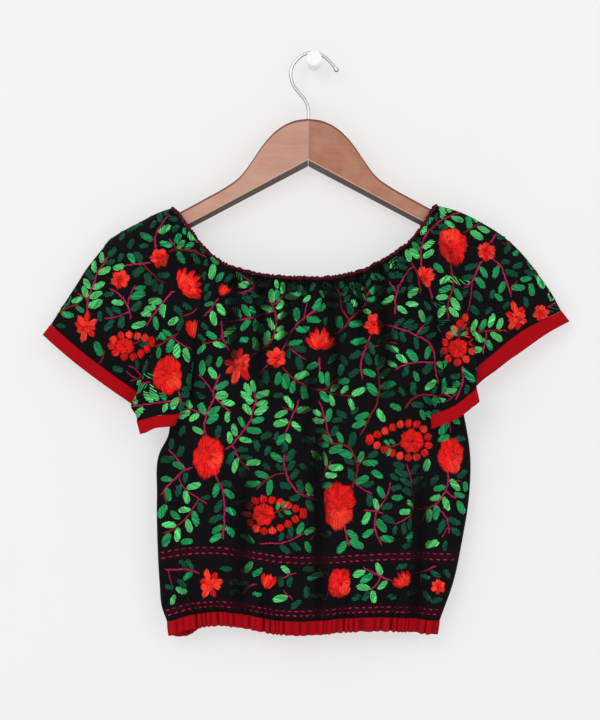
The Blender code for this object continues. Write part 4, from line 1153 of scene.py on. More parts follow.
    def rise(self, rows, low, high, normals):
        """How far the middle of each stitch has to rise to clear the cloth that bulges under it."""
        rise = np.zeros(len(rows))
        for at in (0.3, 0.4, 0.5, 0.6, 0.7):
            here = self.ground.blend(self.ground.points, rows[:, 0:2] * (1 - at) + rows[:, 2:4] * at)
            chord = low + (high - low) * (at - RIDGE_AT[1]) / (RIDGE_AT[2] - RIDGE_AT[1])
            rise = np.maximum(rise, ((here - chord) * normals).sum(axis=1) * 1.2)
        return np.minimum(rise, MOST_RISE)

    def cloth_shade(self, rows, normals):
        """Brightness at each stitch: ridges of the cloth are lit, and its folds are dark."""
        middle_uv = (rows[:, 0:2] + rows[:, 2:4]) / 2
        flat = self.ground.blend(self.ground.plain, middle_uv)
        raised = ((self.ground.blend(self.ground.points, middle_uv) - flat) * normals).sum(axis=1)
        return np.clip(1.01 + 0.21 * raised, 0.12, 1.12)

    def ridges(self, skin):
        """Eight corners of every stitch that the folds don't stretch too far, with its shade and thread."""
        rows = np.array(self.rows)
        share = np.array(RIDGE_AT)
        uv = rows[:, None, 0:2] + (rows[:, None, 2:4] - rows[:, None, 0:2]) * share[None, :, None]
        points = self.ground.blend(self.ground.points, uv)
        normals = unit(self.ground.blend(self.ground.normals, uv))
        run = points[:, 3] - points[:, 0]
        length = np.linalg.norm(run, axis=1)
        width, lift, height, shade, thread = rows[:, 4:9].T
        side = np.cross(normals, run[:, None] / np.maximum(length, 1e-6)[:, None, None])
        side = unit(side + 1e-9)
        rise = self.rise(rows, points[:, 1], points[:, 2], normals[:, 1])
        points[:, 1:3] += normals[:, 1:3] * rise[:, None, None]
        shade = shade * self.cloth_shade(rows, normals[:, 1])
        low = points + normals * (skin + 0.02 + lift)[:, None, None]
        crest = points + normals * (skin + lift + height)[:, None, None]
        half = (width / 2)[:, None]
        verts = [low[:, 0]]
        for k in (1, 2):
            verts += [low[:, k] - side[:, k] * half, crest[:, k], low[:, k] + side[:, k] * half]
        verts = np.stack([*verts, low[:, 3]], axis=1)
        longest = np.minimum(LONGEST_STITCH, STITCH_STRETCH[0] * rows[:, 9] + STITCH_STRETCH[1])
        keep = (length < longest) & (length > SHORTEST_STITCH)
        return verts[keep], shade[keep], thread[keep].astype(int)

    def mesh(self, name, skin):
        """One mesh of every stitch, each a small closed ridge that tapers to its two ends."""
        verts, shade, thread = self.ridges(skin)
        first = np.arange(len(verts))[:, None, None] * 8
        quads = (first + np.array(RIDGE_QUADS)).reshape(-1, 4).tolist()
        triangles = (first + np.array(RIDGE_TRIANGLES)).reshape(-1, 3).tolist()
        slots = np.concatenate([np.repeat(thread, 3), np.repeat(thread, 6)])
        made = mesh_piece(name, bowed(verts.reshape(-1, 3)), quads + triangles,
                          [thread_finish(item) for item in THREADS], slots)
        # Painted highlight: the ends of green stitches are painted much paler than their middles, which rims
        # the leaves, and the ends of other stitches a little paler; the flanks of each stitch get a slight
        # painted shade
        rim = np.where(thread <= FOREST, 2.3, 1.15)[:, None]
        glow = np.repeat(shade[:, None], 8, axis=1) * np.array([0.0, 0.92, 1.0, 0.92, 0.92, 1.0, 0.92, 0.0])
        glow[:, [0, 7]] = shade[:, None] * rim
        across = np.broadcast_to(np.array([0.0, -1, 0, 1, -1, 0, 1, 0]), glow.shape)
        for label, values in (("shade", glow), ("across", across)):
            layer = made.data.attributes.new(label, "FLOAT", "POINT")
            layer.data.foreach_set("value", np.ascontiguousarray(values.reshape(-1), dtype=np.float32))
        return made


# Finishes


# Maroon of the line under the running stitches, also used as painted shade in the hollows of the gathered
# bands
STITCH_LINE_AND_HOLLOW_SHADE = (0.030, 0.0012, 0.006)
WOOD_DUST = (0.56, 0.37, 0.29)
# Painted light of the hanger's wood: a dark reflection on the upper rim, a highlight on the lower edge,
# shade underneath
WOOD_RIM_REFLECTION = (0.17, 0.05, 0.026)
WOOD_EDGE_HIGHLIGHT = (0.62, 0.45, 0.38)
WOOD_UNDER_SHADE = (0.085, 0.048, 0.037)
# Painted reflection of the wire: dark sides and a bright front
STEEL_EDGE_REFLECTION = (0.13, 0.13, 0.135)
STEEL_FRONT_REFLECTION = (0.8, 0.8, 0.81)
PLASTIC_WHITE = (0.9, 0.9, 0.89)
# Names, pale and deep colours of the two arms' wood: one wood, painted lighter on the left arm as if lit and
# darker on the right arm as painted shade
WOODS = {
    "left": ("rosy wood", (0.60, 0.335, 0.245), (0.42, 0.20, 0.14)),
    "right": ("amber wood", (0.46, 0.20, 0.122), (0.30, 0.11, 0.064)),
}


class Value:
    """A shader socket that takes part in arithmetic; each operation adds its Math node."""

    def __init__(self, finish, socket):
        self.finish = finish
        self.socket = socket

    def _math(self, operation, *values):
        return self.finish.add("ShaderNodeMath", {"operation": operation}, dict(enumerate(values)))

    def __add__(self, other):
        return self._math("ADD", self, other)

    def __radd__(self, other):
        return self._math("ADD", other, self)

    def __sub__(self, other):
        return self._math("SUBTRACT", self, other)

    def __rsub__(self, other):
        return self._math("SUBTRACT", other, self)

    def __mul__(self, other):
        return self._math("MULTIPLY", self, other)

    def __rmul__(self, other):
        return self._math("MULTIPLY", other, self)

    def sine(self):
        return self._math("SINE", self)

    def size(self):
        return self._math("ABSOLUTE", self)


class Finish:
    """Node tree of one finish."""

    def __init__(self, name):
        self.material = bpy.data.materials.new(name)
        self.material.use_nodes = True
        self.tree = self.material.node_tree
        self.shader = self.tree.nodes["Principled BSDF"]

    def add(self, kind, settings=None, sockets=None, output=0):
        """New node: its settings, then the values or links of its sockets; gives one of its outputs."""
        node = self.tree.nodes.new(kind)
        for key, value in (settings or {}).items():
            if key == "stops":
                ramp = node.color_ramp
                while len(ramp.elements) < len(value):
                    ramp.elements.new(0.5)
                for element, (place, colour) in zip(ramp.elements, value):
                    element.position = place
                    element.color = (*colour, 1.0)
            else:
                setattr(node, key, value)
        for key, value in (sockets or {}).items():
            self.feed(node.inputs[key], value)
        return Value(self, node.outputs[output])

    def feed(self, socket, value):
        if isinstance(value, Value):
            self.tree.links.new(value.socket, socket)
        elif socket.type == "RGBA" and len(value) == 3:
            socket.default_value = (*value, 1.0)
        else:
            socket.default_value = value

    def place(self):
        return self.add("ShaderNodeTexCoord", output=3)

    def noise(self, scale, detail=3.0, stretch=None, rough=0.55):
        vector = self.place()
        if stretch:
            vector = self.add("ShaderNodeMapping", sockets={"Vector": vector, "Scale": stretch})
        return self.add("ShaderNodeTexNoise",
                        sockets={"Vector": vector, "Scale": scale, "Detail": detail, "Roughness": rough})

    def wave(self, direction, scale, wobble=0.0):
        return self.add("ShaderNodeTexWave", {"wave_type": "BANDS", "bands_direction": direction},
                        {"Vector": self.place(), "Scale": scale, "Distortion": wobble}, output=1)

    def kept(self, name):
        """A value that the mesh keeps on its points."""
        return self.add("ShaderNodeAttribute", {"attribute_name": name}, output=2)

    def mix(self, share, first, second):
        return self.add("ShaderNodeMix", {"data_type": "RGBA"}, {0: share, 6: first, 7: second}, output=2)

    def tone(self, colour, amount):
        """Colour times a number that may vary over the surface."""
        grey = self.add("ShaderNodeCombineColor", sockets={0: amount, 1: amount, 2: amount})
        return self.add("ShaderNodeMix", {"data_type": "RGBA", "blend_type": "MULTIPLY"},
                        {0: 1.0, 6: colour, 7: grey}, output=2)

    def facing(self, axis):
        """How far the surface faces along an axis of the frame."""
        normal = self.add("ShaderNodeNewGeometry", output=1)
        return self.add("ShaderNodeSeparateXYZ", sockets={"Vector": normal}, output=axis)

    def between(self, value, start, stop):
        """Share from 0 at start to 1 at stop."""
        return self.add("ShaderNodeMapRange", sockets={"Value": value, "From Min": start, "From Max": stop})

    def ramp(self, share, stops):
        return self.add("ShaderNodeValToRGB", {"stops": stops}, {"Fac": share})

    def bump(self, height, strength, distance):
        normal = self.add("ShaderNodeBump", sockets={"Height": height, "Strength": strength,
                                                     "Distance": distance})
        self.feed(self.shader.inputs["Normal"], normal)

    def set(self, **values):
        for key, value in values.items():
            self.feed(self.shader.inputs[key.replace("_", " ")], value)
        return self.material


def finish_once(builder):
    """Keeps a finish by its name, so pieces share it."""
    def wrapped(name, *values):
        found = bpy.data.materials.get(name)
        return found or builder(name, *values)
    return wrapped


@finish_once
def thread_finish(name):
    """Mercerised cotton thread: silky, with strands along each stitch."""
    needle = bpy.context.scene.crop_top_needlework
    colour = tuple(getattr(needle, name.replace(" ", "_")))
    finish = Finish(name)
    shade = finish.kept("shade")
    across = finish.kept("across")
    strands = (across * 9.0).sine()
    patches = finish.noise(90.0)
    # Painted shade: each stitch is painted darker toward its two edges, where it meets its neighbours; the
    # kept shade also carries the painted highlights at stitch ends and the painted light and shade of the
    # folds
    amount = shade * (0.85 + 0.3 * patches) * (1.12 - 0.5 * across * across + 0.07 * strands)
    finish.bump(strands, 0.35, 0.0002)
    return finish.set(Base_Color=finish.tone(colour, amount), Roughness=0.5 + 0.2 * patches,
                      Specular_IOR_Level=0.22)


@finish_once
def cotton_finish(name, colour, weave_depth, sheen):
    """Plain-woven cotton with a slight fade; a value kept on the mesh darkens it to maroon, as the maroon
    line under the running stitches, and as painted shade in the hollows of the gathered bands.
    """
    finish = Finish(name)
    weave = finish.wave("X", 520.0, 0.6) + finish.wave("Z", 520.0, 0.6)
    fade = finish.noise(26.0, 4.0)
    slub = finish.noise(700.0, 2.0, (1.0, 1.0, 0.15))
    amount = 0.72 + 0.45 * fade + 0.1 * weave * slub
    base = finish.tone(colour, amount)
    stained_and_shaded = finish.mix(finish.kept("tint"), base, STITCH_LINE_AND_HOLLOW_SHADE)
    finish.bump(weave + 0.6 * slub, weave_depth, 0.0002)
    return finish.set(Base_Color=stained_and_shaded, Roughness=0.78 + 0.12 * fade, Sheen_Weight=sheen,
                      Sheen_Roughness=0.5, Specular_IOR_Level=0.08)


@finish_once
def wood_finish(name, pale, deep):
    """Lacquered wood: long grain along the arm, a painted dark reflection on the upper rim, a painted
    highlight on the lower edge and painted shade underneath.
    """
    finish = Finish(name)
    long_grain = finish.noise(9.0, 6.0, (2.2, 7.0, 7.0), 0.65)
    fine_grain = finish.noise(120.0, 5.0, (0.3, 6.0, 6.0), 0.65)
    grain = long_grain * 0.6 + fine_grain * 0.4
    middling = tuple((first + second) / 2 for first, second in zip(pale, deep))
    body = finish.ramp(grain, ((0.28, deep), (0.52, middling), (0.78, pale)))
    dusty = finish.between(finish.noise(24.0, 5.0), 0.48, 0.74) * 0.4
    body = finish.mix(dusty, body, WOOD_DUST)
    # Painted light by the way each face turns: a dark reflection on upward faces, a highlight on the lower
    # edge, shade on the underside
    up = finish.facing(2)
    rim = finish.between(up, 0.04, 0.3)
    edge_highlight = finish.between(up, -0.12, -0.3)
    under = finish.between(up, -0.62, -0.8)
    edged = finish.mix(rim, body, WOOD_RIM_REFLECTION)
    edged = finish.mix(edge_highlight, edged, WOOD_EDGE_HIGHLIGHT)
    edged = finish.mix(under, edged, WOOD_UNDER_SHADE)
    finish.bump(fine_grain, 0.25, 0.0003)
    return finish.set(Base_Color=edged, Roughness=0.42 + 0.2 * fine_grain, Coat_Weight=0.08,
                      Coat_Roughness=0.25, Specular_IOR_Level=0.3)


@finish_once
def steel_finish(name):
    """Drawn wire with faint draw lines; its front and back are painted as a bright reflection and its sides
    as a dark one.
    """
    finish = Finish(name)
    # Painted reflection: faces turned to the front or back are painted bright, the sides dark
    bright = finish.between(finish.facing(1).size(), 0.55, 0.92)
    lines = finish.noise(900.0, 2.0)
    colour = finish.mix(bright, STEEL_EDGE_REFLECTION, STEEL_FRONT_REFLECTION)
    finish.bump(lines, 0.1, 0.0001)
    return finish.set(Base_Color=colour, Metallic=1.0, Roughness=0.18 + 0.12 * lines)


@finish_once
def plastic_finish(name):
    """Moulded white plastic with a faint satin grain."""
    finish = Finish(name)
    grain = finish.noise(600.0, 3.0)
    marks = finish.noise(60.0, 3.0)
    finish.bump(grain, 0.06, 0.0002)
    return finish.set(Base_Color=finish.tone(PLASTIC_WHITE, 0.95 + 0.07 * marks),
                      Roughness=0.3 + 0.12 * grain, Coat_Weight=0.1)


@finish_once
def wall_finish(name, colour):
    """Matt painted wall; it can't be seen from behind, so it hides nothing in other views."""
    finish = Finish(name)
    mottle = finish.noise(14.0, 4.0)
    finish.bump(mottle, 0.05, 0.001)
    finish.set(Base_Color=finish.tone(colour, 0.97 + 0.06 * mottle), Roughness=0.9,
               Specular_IOR_Level=0.1, Emission_Color=(1.0, 1.0, 1.0), Emission_Strength=0.5)
    behind = finish.add("ShaderNodeNewGeometry", output=6)
    clear = finish.add("ShaderNodeBsdfTransparent")
    mixed = finish.add("ShaderNodeMixShader", sockets={0: behind, 2: clear})
    finish.tree.links.new(finish.shader.outputs[0], mixed.socket.node.inputs[1])
    finish.tree.links.new(mixed.socket, finish.tree.nodes["Material Output"].inputs[0])
    return finish.material


# Settings


def colour_property(label, told, colour):
    return FloatVectorProperty(name=label, description=told, subtype="COLOR", default=colour)


def count_property(label, told, count, low, high):
    return IntProperty(name=label, description=told, default=count, min=low, max=high)


def number_property(label, told, number, low, high, **more):
    return FloatProperty(name=label, description=told, default=number, min=low, max=high, **more)


class ClothSettings(bpy.types.PropertyGroup):
    """Sizes and colours of the cloth."""

    half_wall: number_property("Half Wall", "Half the thickness of the cloth in mm", 0.35, 0.1, 1.0)
    neck_gathers: count_property("Neck Gathers", "Gathers of a body panel at the neck", 36, 8, 60)
    hem_gathers: count_property("Hem Gathers", "Gathers of a body panel at the hem", 39, 8, 80)
    sleeve_gathers: count_property("Sleeve Gathers", "Gathers of a sleeve at the neck", 34, 8, 60)
    body_columns: count_property("Body Columns", "Grid columns of a body panel", 288, 60, 400)
    sleeve_columns: count_property("Sleeve Columns", "Grid columns of a sleeve", 216, 60, 400)
    row_step: number_property("Row Step", "Distance between grid rows in mm", 4.4, 2.0, 12.0)
    black: colour_property("Ground Cloth", "Colour of the ground cloth", (0.0034, 0.0026, 0.0035))
    red: colour_property("Band Cloth", "Colour of the cuffs and the hem band", (0.385, 0.0012, 0.0062))
    maroon: colour_property("Casing Cloth", "Colour of the neck casing", (0.085, 0.003, 0.010))


class NeedleworkSettings(bpy.types.PropertyGroup):
    """Colours of the embroidery threads."""

    mint_thread: colour_property("Mint Thread", "Lightest leaves", (0.10, 0.62, 0.175))
    leaf_thread: colour_property("Leaf Thread", "Mid green leaves", (0.008, 0.34, 0.11))
    forest_thread: colour_property("Forest Thread", "Darkest leaves", (0.0015, 0.082, 0.038))
    scarlet_thread: colour_property("Scarlet Thread", "Most petals", (0.72, 0.006, 0.004))
    coral_thread: colour_property("Coral Thread", "Lightest petals", (0.88, 0.042, 0.022))
    crimson_thread: colour_property("Crimson Thread", "Flower hearts", (0.52, 0.004, 0.005))
    vine_thread: colour_property("Vine Thread", "Magenta stems", (0.38, 0.008, 0.072))
    wine_thread: colour_property("Wine Thread", "Dark red stems", (0.24, 0.006, 0.018))


class StageSettings(bpy.types.PropertyGroup):
    """Wall, light and camera."""

    distance: number_property("Camera Distance", "From the hanging plane to the camera", 2.0, 0.5, 6.0,
                              unit="LENGTH")
    view_height: number_property("View Height", "Height of the view at the top's plane", 0.792, 0.2, 3.0,
                                 unit="LENGTH")
    key_power: number_property("Key Light", "Power of the large soft light in watts", 20.0, 0.0, 500.0)
    ambient: number_property("Ambient", "Strength of the light from all round", 0.82, 0.0, 3.0)
    wall: colour_property("Wall", "Colour of the wall", (0.375, 0.372, 0.37))


# Operators


# A band's edges are panels in their order around it, each with the way it runs and its columns. It carries
# on from their lowest row, 0, or their highest, -1. Puff is how far its gathers stand out.
Band = namedtuple("Band", "name node slot edges row height half_wall puff")
BAND_ROWS = 7
HEM_EDGES = (("front", 1, 400), ("back", -1, 400))
NECK_EDGES = (("front", 1, 288), ("right", 1, 240), ("back", -1, 288), ("left", -1, 240))
BANDS = (
    Band("gathered_hem_band", "hem_band", "band", HEM_EDGES, 0, 15.4, 0.8, 1.15),
    Band("gathered_neck_casing", "neck_casing", "casing", NECK_EDGES, -1, 2.9, 0.75, 2.0),
    Band("left_cuff", "cuff_left", "band", (("left", 1, 260),), 0, 14.6, 0.75, 0.0),
    Band("right_cuff", "cuff_right", "band", (("right", 1, 260),), 0, 14.6, 0.75, 0.0))
BAND_START = 0.2
HEM_SCALLOP = 0.022
NECK_SCALLOP = 0.3
WIDE_CUFF_AT = 222.0
WIDE_CUFF_REACH = 24.0
WIDE_CUFF_SHARE = 0.26


class CROPTOP_OT_panels(bpy.types.Operator):
    """Sew the front, the back and the two flutter sleeves"""

    bl_idname = "crop_top.panels"
    bl_label = "Panels"

    def execute(self, context):
        cloth = context.scene.crop_top_cloth
        sewing = Sewing()
        finish = cotton_finish("black cotton", tuple(cloth.black), 0.5, 0.015)
        for key, name in sewing.names.items():
            line = np.zeros(sewing.points[key].shape[:2])
            if key in ("front", "back"):
                for low, high in STITCH_ROWS:
                    line += np.exp(-((sewing.v[key] - (low + high) / 2) / STITCH_LINE) ** 4)[:, None]
            made = shell(name, sewing.points[key], sewing.normals[key], cloth.half_wall, finish,
                         tint=np.clip(line, 0, 1) * 0.7)
            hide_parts(sewing.nodes[key])
        return {"FINISHED"}


class CROPTOP_OT_bands(bpy.types.Operator):
    """Add the gathered hem band, the neck casing and the two red cuffs"""

    bl_idname = "crop_top.bands"
    bl_label = "Bands"

    def execute(self, context):
        cloth = context.scene.crop_top_cloth
        red = cotton_finish("red cotton", tuple(cloth.red), 0.45, 0.01)
        maroon = cotton_finish("maroon cotton", tuple(cloth.maroon), 0.45, 0.03)
        for band in BANDS:
            self.band(band, maroon if band.slot == "casing" else red)
        return {"FINISHED"}

    def edge(self, band):
        """Points, directions, normals and gather wave of the ring of panel edges that a band is sewn to."""
        edges, ways, sides, phases = [], [], [], []
        for key, way, count in band.edges:
            u = np.linspace(0, 1, count + 1)
            v = np.array([0.0, 0.012, 0.024]) if band.row == 0 else np.array([0.976, 0.988, 1.0])
            grid = panel_points(key, u, v)
            normal = grid_normals(grid, panel_facing(key))[band.row]
            plain = panel_points(key, u, v, plain=True)
            fall = unit(plain[0] - plain[1]) if band.row == 0 else unit(plain[-1] - plain[-2])
            phases.append(self.phase(key, u, band.row)[::way])
            edges.append(grid[band.row, ::way])
            ways.append(fall[::way])
            sides.append(normal[::way])
        points, directions, panel_normals = ring_of(edges), unit(ring_of(ways)), unit(ring_of(sides))
        wave = ring_of([phase[:, None] for phase in phases])
        if band.node.startswith("cuff"):
            directions = evened(directions, 12)
            if band.node == "cuff_left":
                at = np.linspace(0, 2, len(directions), endpoint=False)
                directions[:, 0] += 0.62 * np.exp(-((at - FLUTE_EDGE) / 0.07) ** 2)
                directions = unit(directions)
            panel_normals = evened(panel_normals, 2)
        return points, directions, panel_normals, wave

    def scallop(self, band, points, wave):
        """Factor of a band's height: uneven at gathers, and larger at the wide part of the right cuff."""
        if band.node == "neck_casing":
            return 1 + NECK_SCALLOP * wave[None]
        if band.node == "cuff_right":
            wide = np.exp(-((points[:, 0] - WIDE_CUFF_AT) / WIDE_CUFF_REACH) ** 2)
            return 1 + WIDE_CUFF_SHARE * (wide * (points[:, 1] < HANG_PLANE))[None, :, None]
        return 1 + HEM_SCALLOP * band.puff * wave[None]

    def band(self, band, finish):
        """Ring of cloth that carries on from the panels' edges."""
        points, directions, panel_normals, wave = self.edge(band)
        share = np.linspace(0, 1, BAND_ROWS)[:, None, None]
        height = band.height * share * self.scallop(band, points, wave)
        grid = points[None] + directions[None] * (BAND_START + height)
        normals = grid_normals(grid, 1.0, closed=True)
        normals *= np.sign((normals * panel_normals).sum())
        swell = np.sin(math.pi * share) ** 0.7
        grid = grid + normals * (band.puff * wave[None] * swell * 0.6)
        profile = np.full_like(share, band.half_wall)
        hollow = np.zeros(grid.shape[:2])
        if band.puff:
            profile = band.half_wall * (0.55 + 0.75 * swell)
            # Painted shade: the hollows between the gathers are painted dark maroon
            hollow += np.clip(0.1 - wave[None, :, 0], 0, 1) * 0.4
        made = shell(band.name, grid, normals, profile, finish, closed=True, tint=hollow)
        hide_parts(band.node)

    def phase(self, key, u, row):
        """Gather wave along a panel's edge, as its own gathers run."""
        cloth = bpy.context.scene.crop_top_cloth
        sway = GATHER_SWAY[key]
        if key in ("left", "right"):
            return fine_gathers(u, cloth.sleeve_gathers, sway)
        if row == 0:
            return fine_gathers(u, cloth.hem_gathers, sway + 1)
        return fine_gathers(u, cloth.neck_gathers, sway)


def ring_of(edges):
    """Joins edges end to end into one closed ring; the column that two of them share is averaged."""
    return np.concatenate([np.concatenate([(edge[:1] + edges[k - 1][-1:]) / 2, edge[1:-1]])
                           for k, edge in enumerate(edges)])


def evened(directions, reach):
    """Directions around a ring, each the mean of its neighbours within a reach."""
    return unit(sum(np.roll(directions, step, axis=0) for step in range(-reach, reach + 1)))


class CROPTOP_OT_needlework(bpy.types.Operator):
    """Embroider the panels with flowers, paisleys, vines and leaves, and sew the running stitches"""

    bl_idname = "crop_top.needlework"
    bl_label = "Needlework"

    def execute(self, context):
        sewing = Sewing()
        skin = context.scene.crop_top_cloth.half_wall
        made = {}
        for key, seed in SEEDS.items():
            on_body = key in ("front", "back")
            work = Needlework(Ground(sewing, key), seed, BODY_MARGINS if on_body else SLEEVE_MARGINS)
            if on_body:
                for v in STITCH_ROWS[0] + STITCH_ROWS[1]:
                    work.running(v)
            work.plant(GARDEN[key], front=key != "back")
            if not on_body:
                work.plant(GARDEN[key + " back"], front=False)
            work.fill(tries=900, gap=14.0, length=60.0, thick=0.8, shades=(MINT, MINT, LEAF, FOREST))
            work.fill(tries=1200, gap=9.0, length=34.0, thick=0.6, shades=(MINT, LEAF, FOREST, FOREST))
            work.edging(tries=2200)
            work.scatter(tries=3000, gap=4.6, shades=(LEAF, FOREST, FOREST))
            made[key] = work.mesh(sewing.names[key] + "_embroidery", skin)
        self.declare(made)
        return {"FINISHED"}

    def declare(self, embroidery):
        """Does nothing."""


def loft(name, sections, finish, node):
    """Closed piece through rings of the same number of points, standing for a node."""
    sections = np.array(sections)
    count, sides = sections.shape[:2]
    index = np.arange(count * sides).reshape(count, sides)
    turned = np.roll(index, -1, axis=1)
    walls = np.stack([index[:-1], turned[:-1], turned[1:], index[1:]], axis=-1).reshape(-1, 4).tolist()
    made = mesh_piece(name, sections.reshape(-1, 3), walls + [index[0][::-1].tolist(), index[-1].tolist()],
                      [finish])
    made.data.set_sharp_from_angle(angle=math.radians(50))
    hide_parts(node)


def arm_section(distance, side, outline):
    """Section of a hanger arm: a flat face, rounded top edges and an underside that slopes back."""
    past = max(0.0, (distance - (HANGER_HALF_LENGTH - TIP_ROUNDING)) / TIP_ROUNDING)
    shrink = math.sqrt(max(0.0, 1 - past**2)) * 0.86 + 0.14
    top = np.interp(distance, outline[:, 0], outline[:, 1])
    low = HUMP_LOW - ARM_SLOPE * distance
    middle, half_height = (top + low) / 2, (top - low) / 2 * shrink
    taper = float(step_up(distance, 90.0, HANGER_HALF_LENGTH))
    thick = ARM_THICKNESS[0] + (ARM_THICKNESS[1] - ARM_THICKNESS[0]) * taper
    half = thick / 2 * (1 - 0.25 * past) - (0.35 if distance < 0.4 else 0.0)
    slope = np.interp(distance, UNDERSIDE_AT, UNDERSIDE_SLOPE) * shrink
    top, low = middle + half_height, middle - half_height
    corners = np.array([(-half, low + slope), (-half, top), (half, top), (half, low)])
    points = []
    for k, radius in enumerate(ARM_CORNERS):
        before = corners[k - 1] - corners[k]
        after = corners[(k + 1) % 4] - corners[k]
        radius = min(radius * shrink, np.linalg.norm(before) * 0.4, np.linalg.norm(after) * 0.4)
        before, after = unit(before) * radius, unit(after) * radius
        points.append(corners[k] + before * 1.4)
        points += [corners[k] + before * (1 - t) ** 2 + after * t**2 for t in np.linspace(0, 1, 6)]
        points.append(corners[k] + after * 1.4)
    y, z = np.array(points).T
    section = np.column_stack([np.full(len(y), HANGER_MIDDLE + side * distance), HANG_PLANE + y, z])
    return bowed(section if side > 0 else section[::-1])


class CROPTOP_OT_hanger(bpy.types.Operator):
    """Make the wooden hanger, its steel hook and the wall peg"""

    bl_idname = "crop_top.hanger"
    bl_label = "Hanger"

    def execute(self, context):
        outline = smooth(places(ARM_TOP), np.linspace(0, 1, 600))
        stations = np.concatenate([[0.2, 0.55, 1.2], np.linspace(3, 100, 56), np.linspace(103, 212, 30),
                                   215 + 9 * np.sin(np.linspace(0, math.pi / 2, 12))])
        woods = {side: wood_finish(*wood) for side, wood in WOODS.items()}
        for side, way in (("left", -1), ("right", 1)):
            sections = [arm_section(distance, way, outline) for distance in stations]
            loft(side + "_arm", sections, woods[side], "hanger_arm_" + side)
        self.hook()
        angles = np.linspace(0, 2 * math.pi, 72, endpoint=False)
        rings_of_peg = [np.column_stack([radius * np.cos(angles), np.full(len(angles), -depth),
                                         radius * np.sin(angles)]) for depth, radius in PEG_PROFILE]
        loft("peg", rings_of_peg, plastic_finish("white plastic"), "wall_peg")
        return {"FINISHED"}

    def hook(self):
        """Wire bent in one plane, with a small ball at its end."""
        route = smooth(places(HOOK_PATH), np.linspace(0, 1, 130))
        steps = np.linalg.norm(np.diff(route, axis=0), axis=1)
        from_end = steps.sum() - np.concatenate(([0.0], np.cumsum(steps)))
        ball = np.sqrt(np.clip(WIRE_TIP_RADIUS**2 - (from_end - WIRE_TIP_RADIUS) ** 2, 0.02, None))
        radii = np.where(from_end < 2 * WIRE_TIP_RADIUS, np.maximum(ball, WIRE_RADIUS * (from_end > 3.2)),
                         WIRE_RADIUS)
        ahead = unit(np.gradient(route, axis=0))
        angles = np.linspace(0, 2 * math.pi, 20, endpoint=False)
        sections = []
        for (x, z), (run_x, run_z), radius in zip(route, ahead, radii):
            aside, depth = radius * np.cos(angles), radius * np.sin(angles)
            sections.append(np.column_stack([x - run_z * aside, HANG_PLANE + depth, z + run_x * aside]))
        loft("wire_hook", sections, steel_finish("bright steel"), "hook")


# Sizes of the stage in metres; the view's middle is in x and z
WALL_SIDE = 3.0
FLOOR_LEVEL = -1.2
FLOOR_FRONT = -4.0
WALL_TOP = 1.8
VIEW_MIDDLE = (-0.0154, -0.330)
Lamp = namedtuple("Lamp", "name place target size share")
LAMPS = (
    Lamp("key", (-1.1, -2.6, 0.9), (-0.05, 0.0, -0.35), 1.3, 1.0),
    Lamp("fill", (1.9, -2.4, 0.2), (0.0, 0.0, -0.4), 1.6, 0.3))


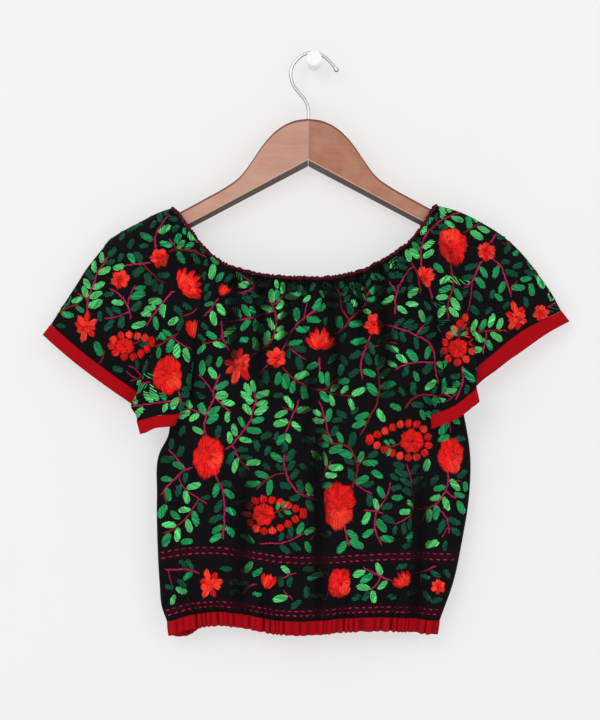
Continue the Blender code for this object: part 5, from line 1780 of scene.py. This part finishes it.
class CROPTOP_OT_stage(bpy.types.Operator):
    """Set up the pale wall and floor, the soft lights and the camera"""

    bl_idname = "crop_top.stage"
    bl_label = "Stage"

    def execute(self, context):
        stage = context.scene.crop_top_stage
        scene = context.scene
        finish = wall_finish("wall paint", tuple(stage.wall))
        foot = [(side, 0.0, FLOOR_LEVEL) for side in (-WALL_SIDE, WALL_SIDE)]
        head = [(side, 0.0, WALL_TOP) for side in (WALL_SIDE, -WALL_SIDE)]
        near = [(side, FLOOR_FRONT, FLOOR_LEVEL) for side in (-WALL_SIDE, WALL_SIDE)]
        self.plane("wall", foot + head, finish)
        self.plane("floor", near + foot[::-1], finish)
        world = bpy.data.worlds.new("studio")
        world.use_nodes = True
        shade = world.node_tree.nodes["Background"]
        shade.inputs["Color"].default_value = (1.0, 1.0, 1.0, 1.0)
        shade.inputs["Strength"].default_value = stage.ambient
        scene.world = world
        for lamp in LAMPS:
            self.light(lamp, stage.key_power)
        scene.view_settings.view_transform = "Standard"
        self.camera(scene, stage)
        return {"FINISHED"}

    def plane(self, name, corners, finish):
        mesh = bpy.data.meshes.new(name)
        mesh.from_pydata(corners, [], [(0, 1, 2, 3)])
        mesh.materials.append(finish)
        made = bpy.data.objects.new(name, mesh)
        bpy.context.collection.objects.link(made)

    def light(self, lamp, power):
        """Round soft light that points at its target."""
        light = bpy.data.lights.new(lamp.name, "AREA")
        light.shape = "DISK"
        light.size = lamp.size
        light.energy = power * lamp.share
        made = bpy.data.objects.new(lamp.name, light)
        made.location = lamp.place
        way = Vector(lamp.target) - Vector(lamp.place)
        made.rotation_euler = way.to_track_quat("-Z", "Y").to_euler()
        bpy.context.collection.objects.link(made)

    def camera(self, scene, stage):
        lens = bpy.data.cameras.new("camera")
        lens.sensor_width = 36.0
        lens.lens = lens.sensor_width * stage.distance / stage.view_height
        made = bpy.data.objects.new("camera", lens)
        made.location = (VIEW_MIDDLE[0], HANG_PLANE * MM - stage.distance, VIEW_MIDDLE[1])
        made.rotation_euler = (math.pi / 2, 0.0, 0.0)
        bpy.context.collection.objects.link(made)
        scene.camera = made


class CROPTOP_PT_sidebar(bpy.types.Panel):
    """Lists the steps that make the crop top"""

    bl_idname = "CROPTOP_PT_sidebar"
    bl_label = "Crop Top"
    bl_space_type = "VIEW_3D"
    bl_region_type = "UI"
    bl_category = "Crop Top"

    def draw(self, context):
        for step in STEPS:
            self.layout.operator(step.bl_idname)
        for group in (context.scene.crop_top_cloth, context.scene.crop_top_needlework,
                      context.scene.crop_top_stage):
            box = self.layout.box()
            for name in group.bl_rna.properties.keys():
                if name not in ("rna_type", "name"):
                    box.prop(group, name)


STEPS = (CROPTOP_OT_stage, CROPTOP_OT_hanger, CROPTOP_OT_panels, CROPTOP_OT_bands, CROPTOP_OT_needlework)
GROUPS = (ClothSettings, NeedleworkSettings, StageSettings)


def register():
    for item in GROUPS + STEPS + (CROPTOP_PT_sidebar,):
        bpy.utils.register_class(item)
    bpy.types.Scene.crop_top_cloth = PointerProperty(type=ClothSettings)
    bpy.types.Scene.crop_top_needlework = PointerProperty(type=NeedleworkSettings)
    bpy.types.Scene.crop_top_stage = PointerProperty(type=StageSettings)


def unregister():
    del bpy.types.Scene.crop_top_stage
    del bpy.types.Scene.crop_top_needlework
    del bpy.types.Scene.crop_top_cloth
    for item in reversed(GROUPS + STEPS + (CROPTOP_PT_sidebar,)):
        bpy.utils.unregister_class(item)


def main():
    register()
    for step in STEPS:
        group, name = step.bl_idname.split(".")
        getattr(getattr(bpy.ops, group), name)()
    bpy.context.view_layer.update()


if __name__ == "__main__":
    main()
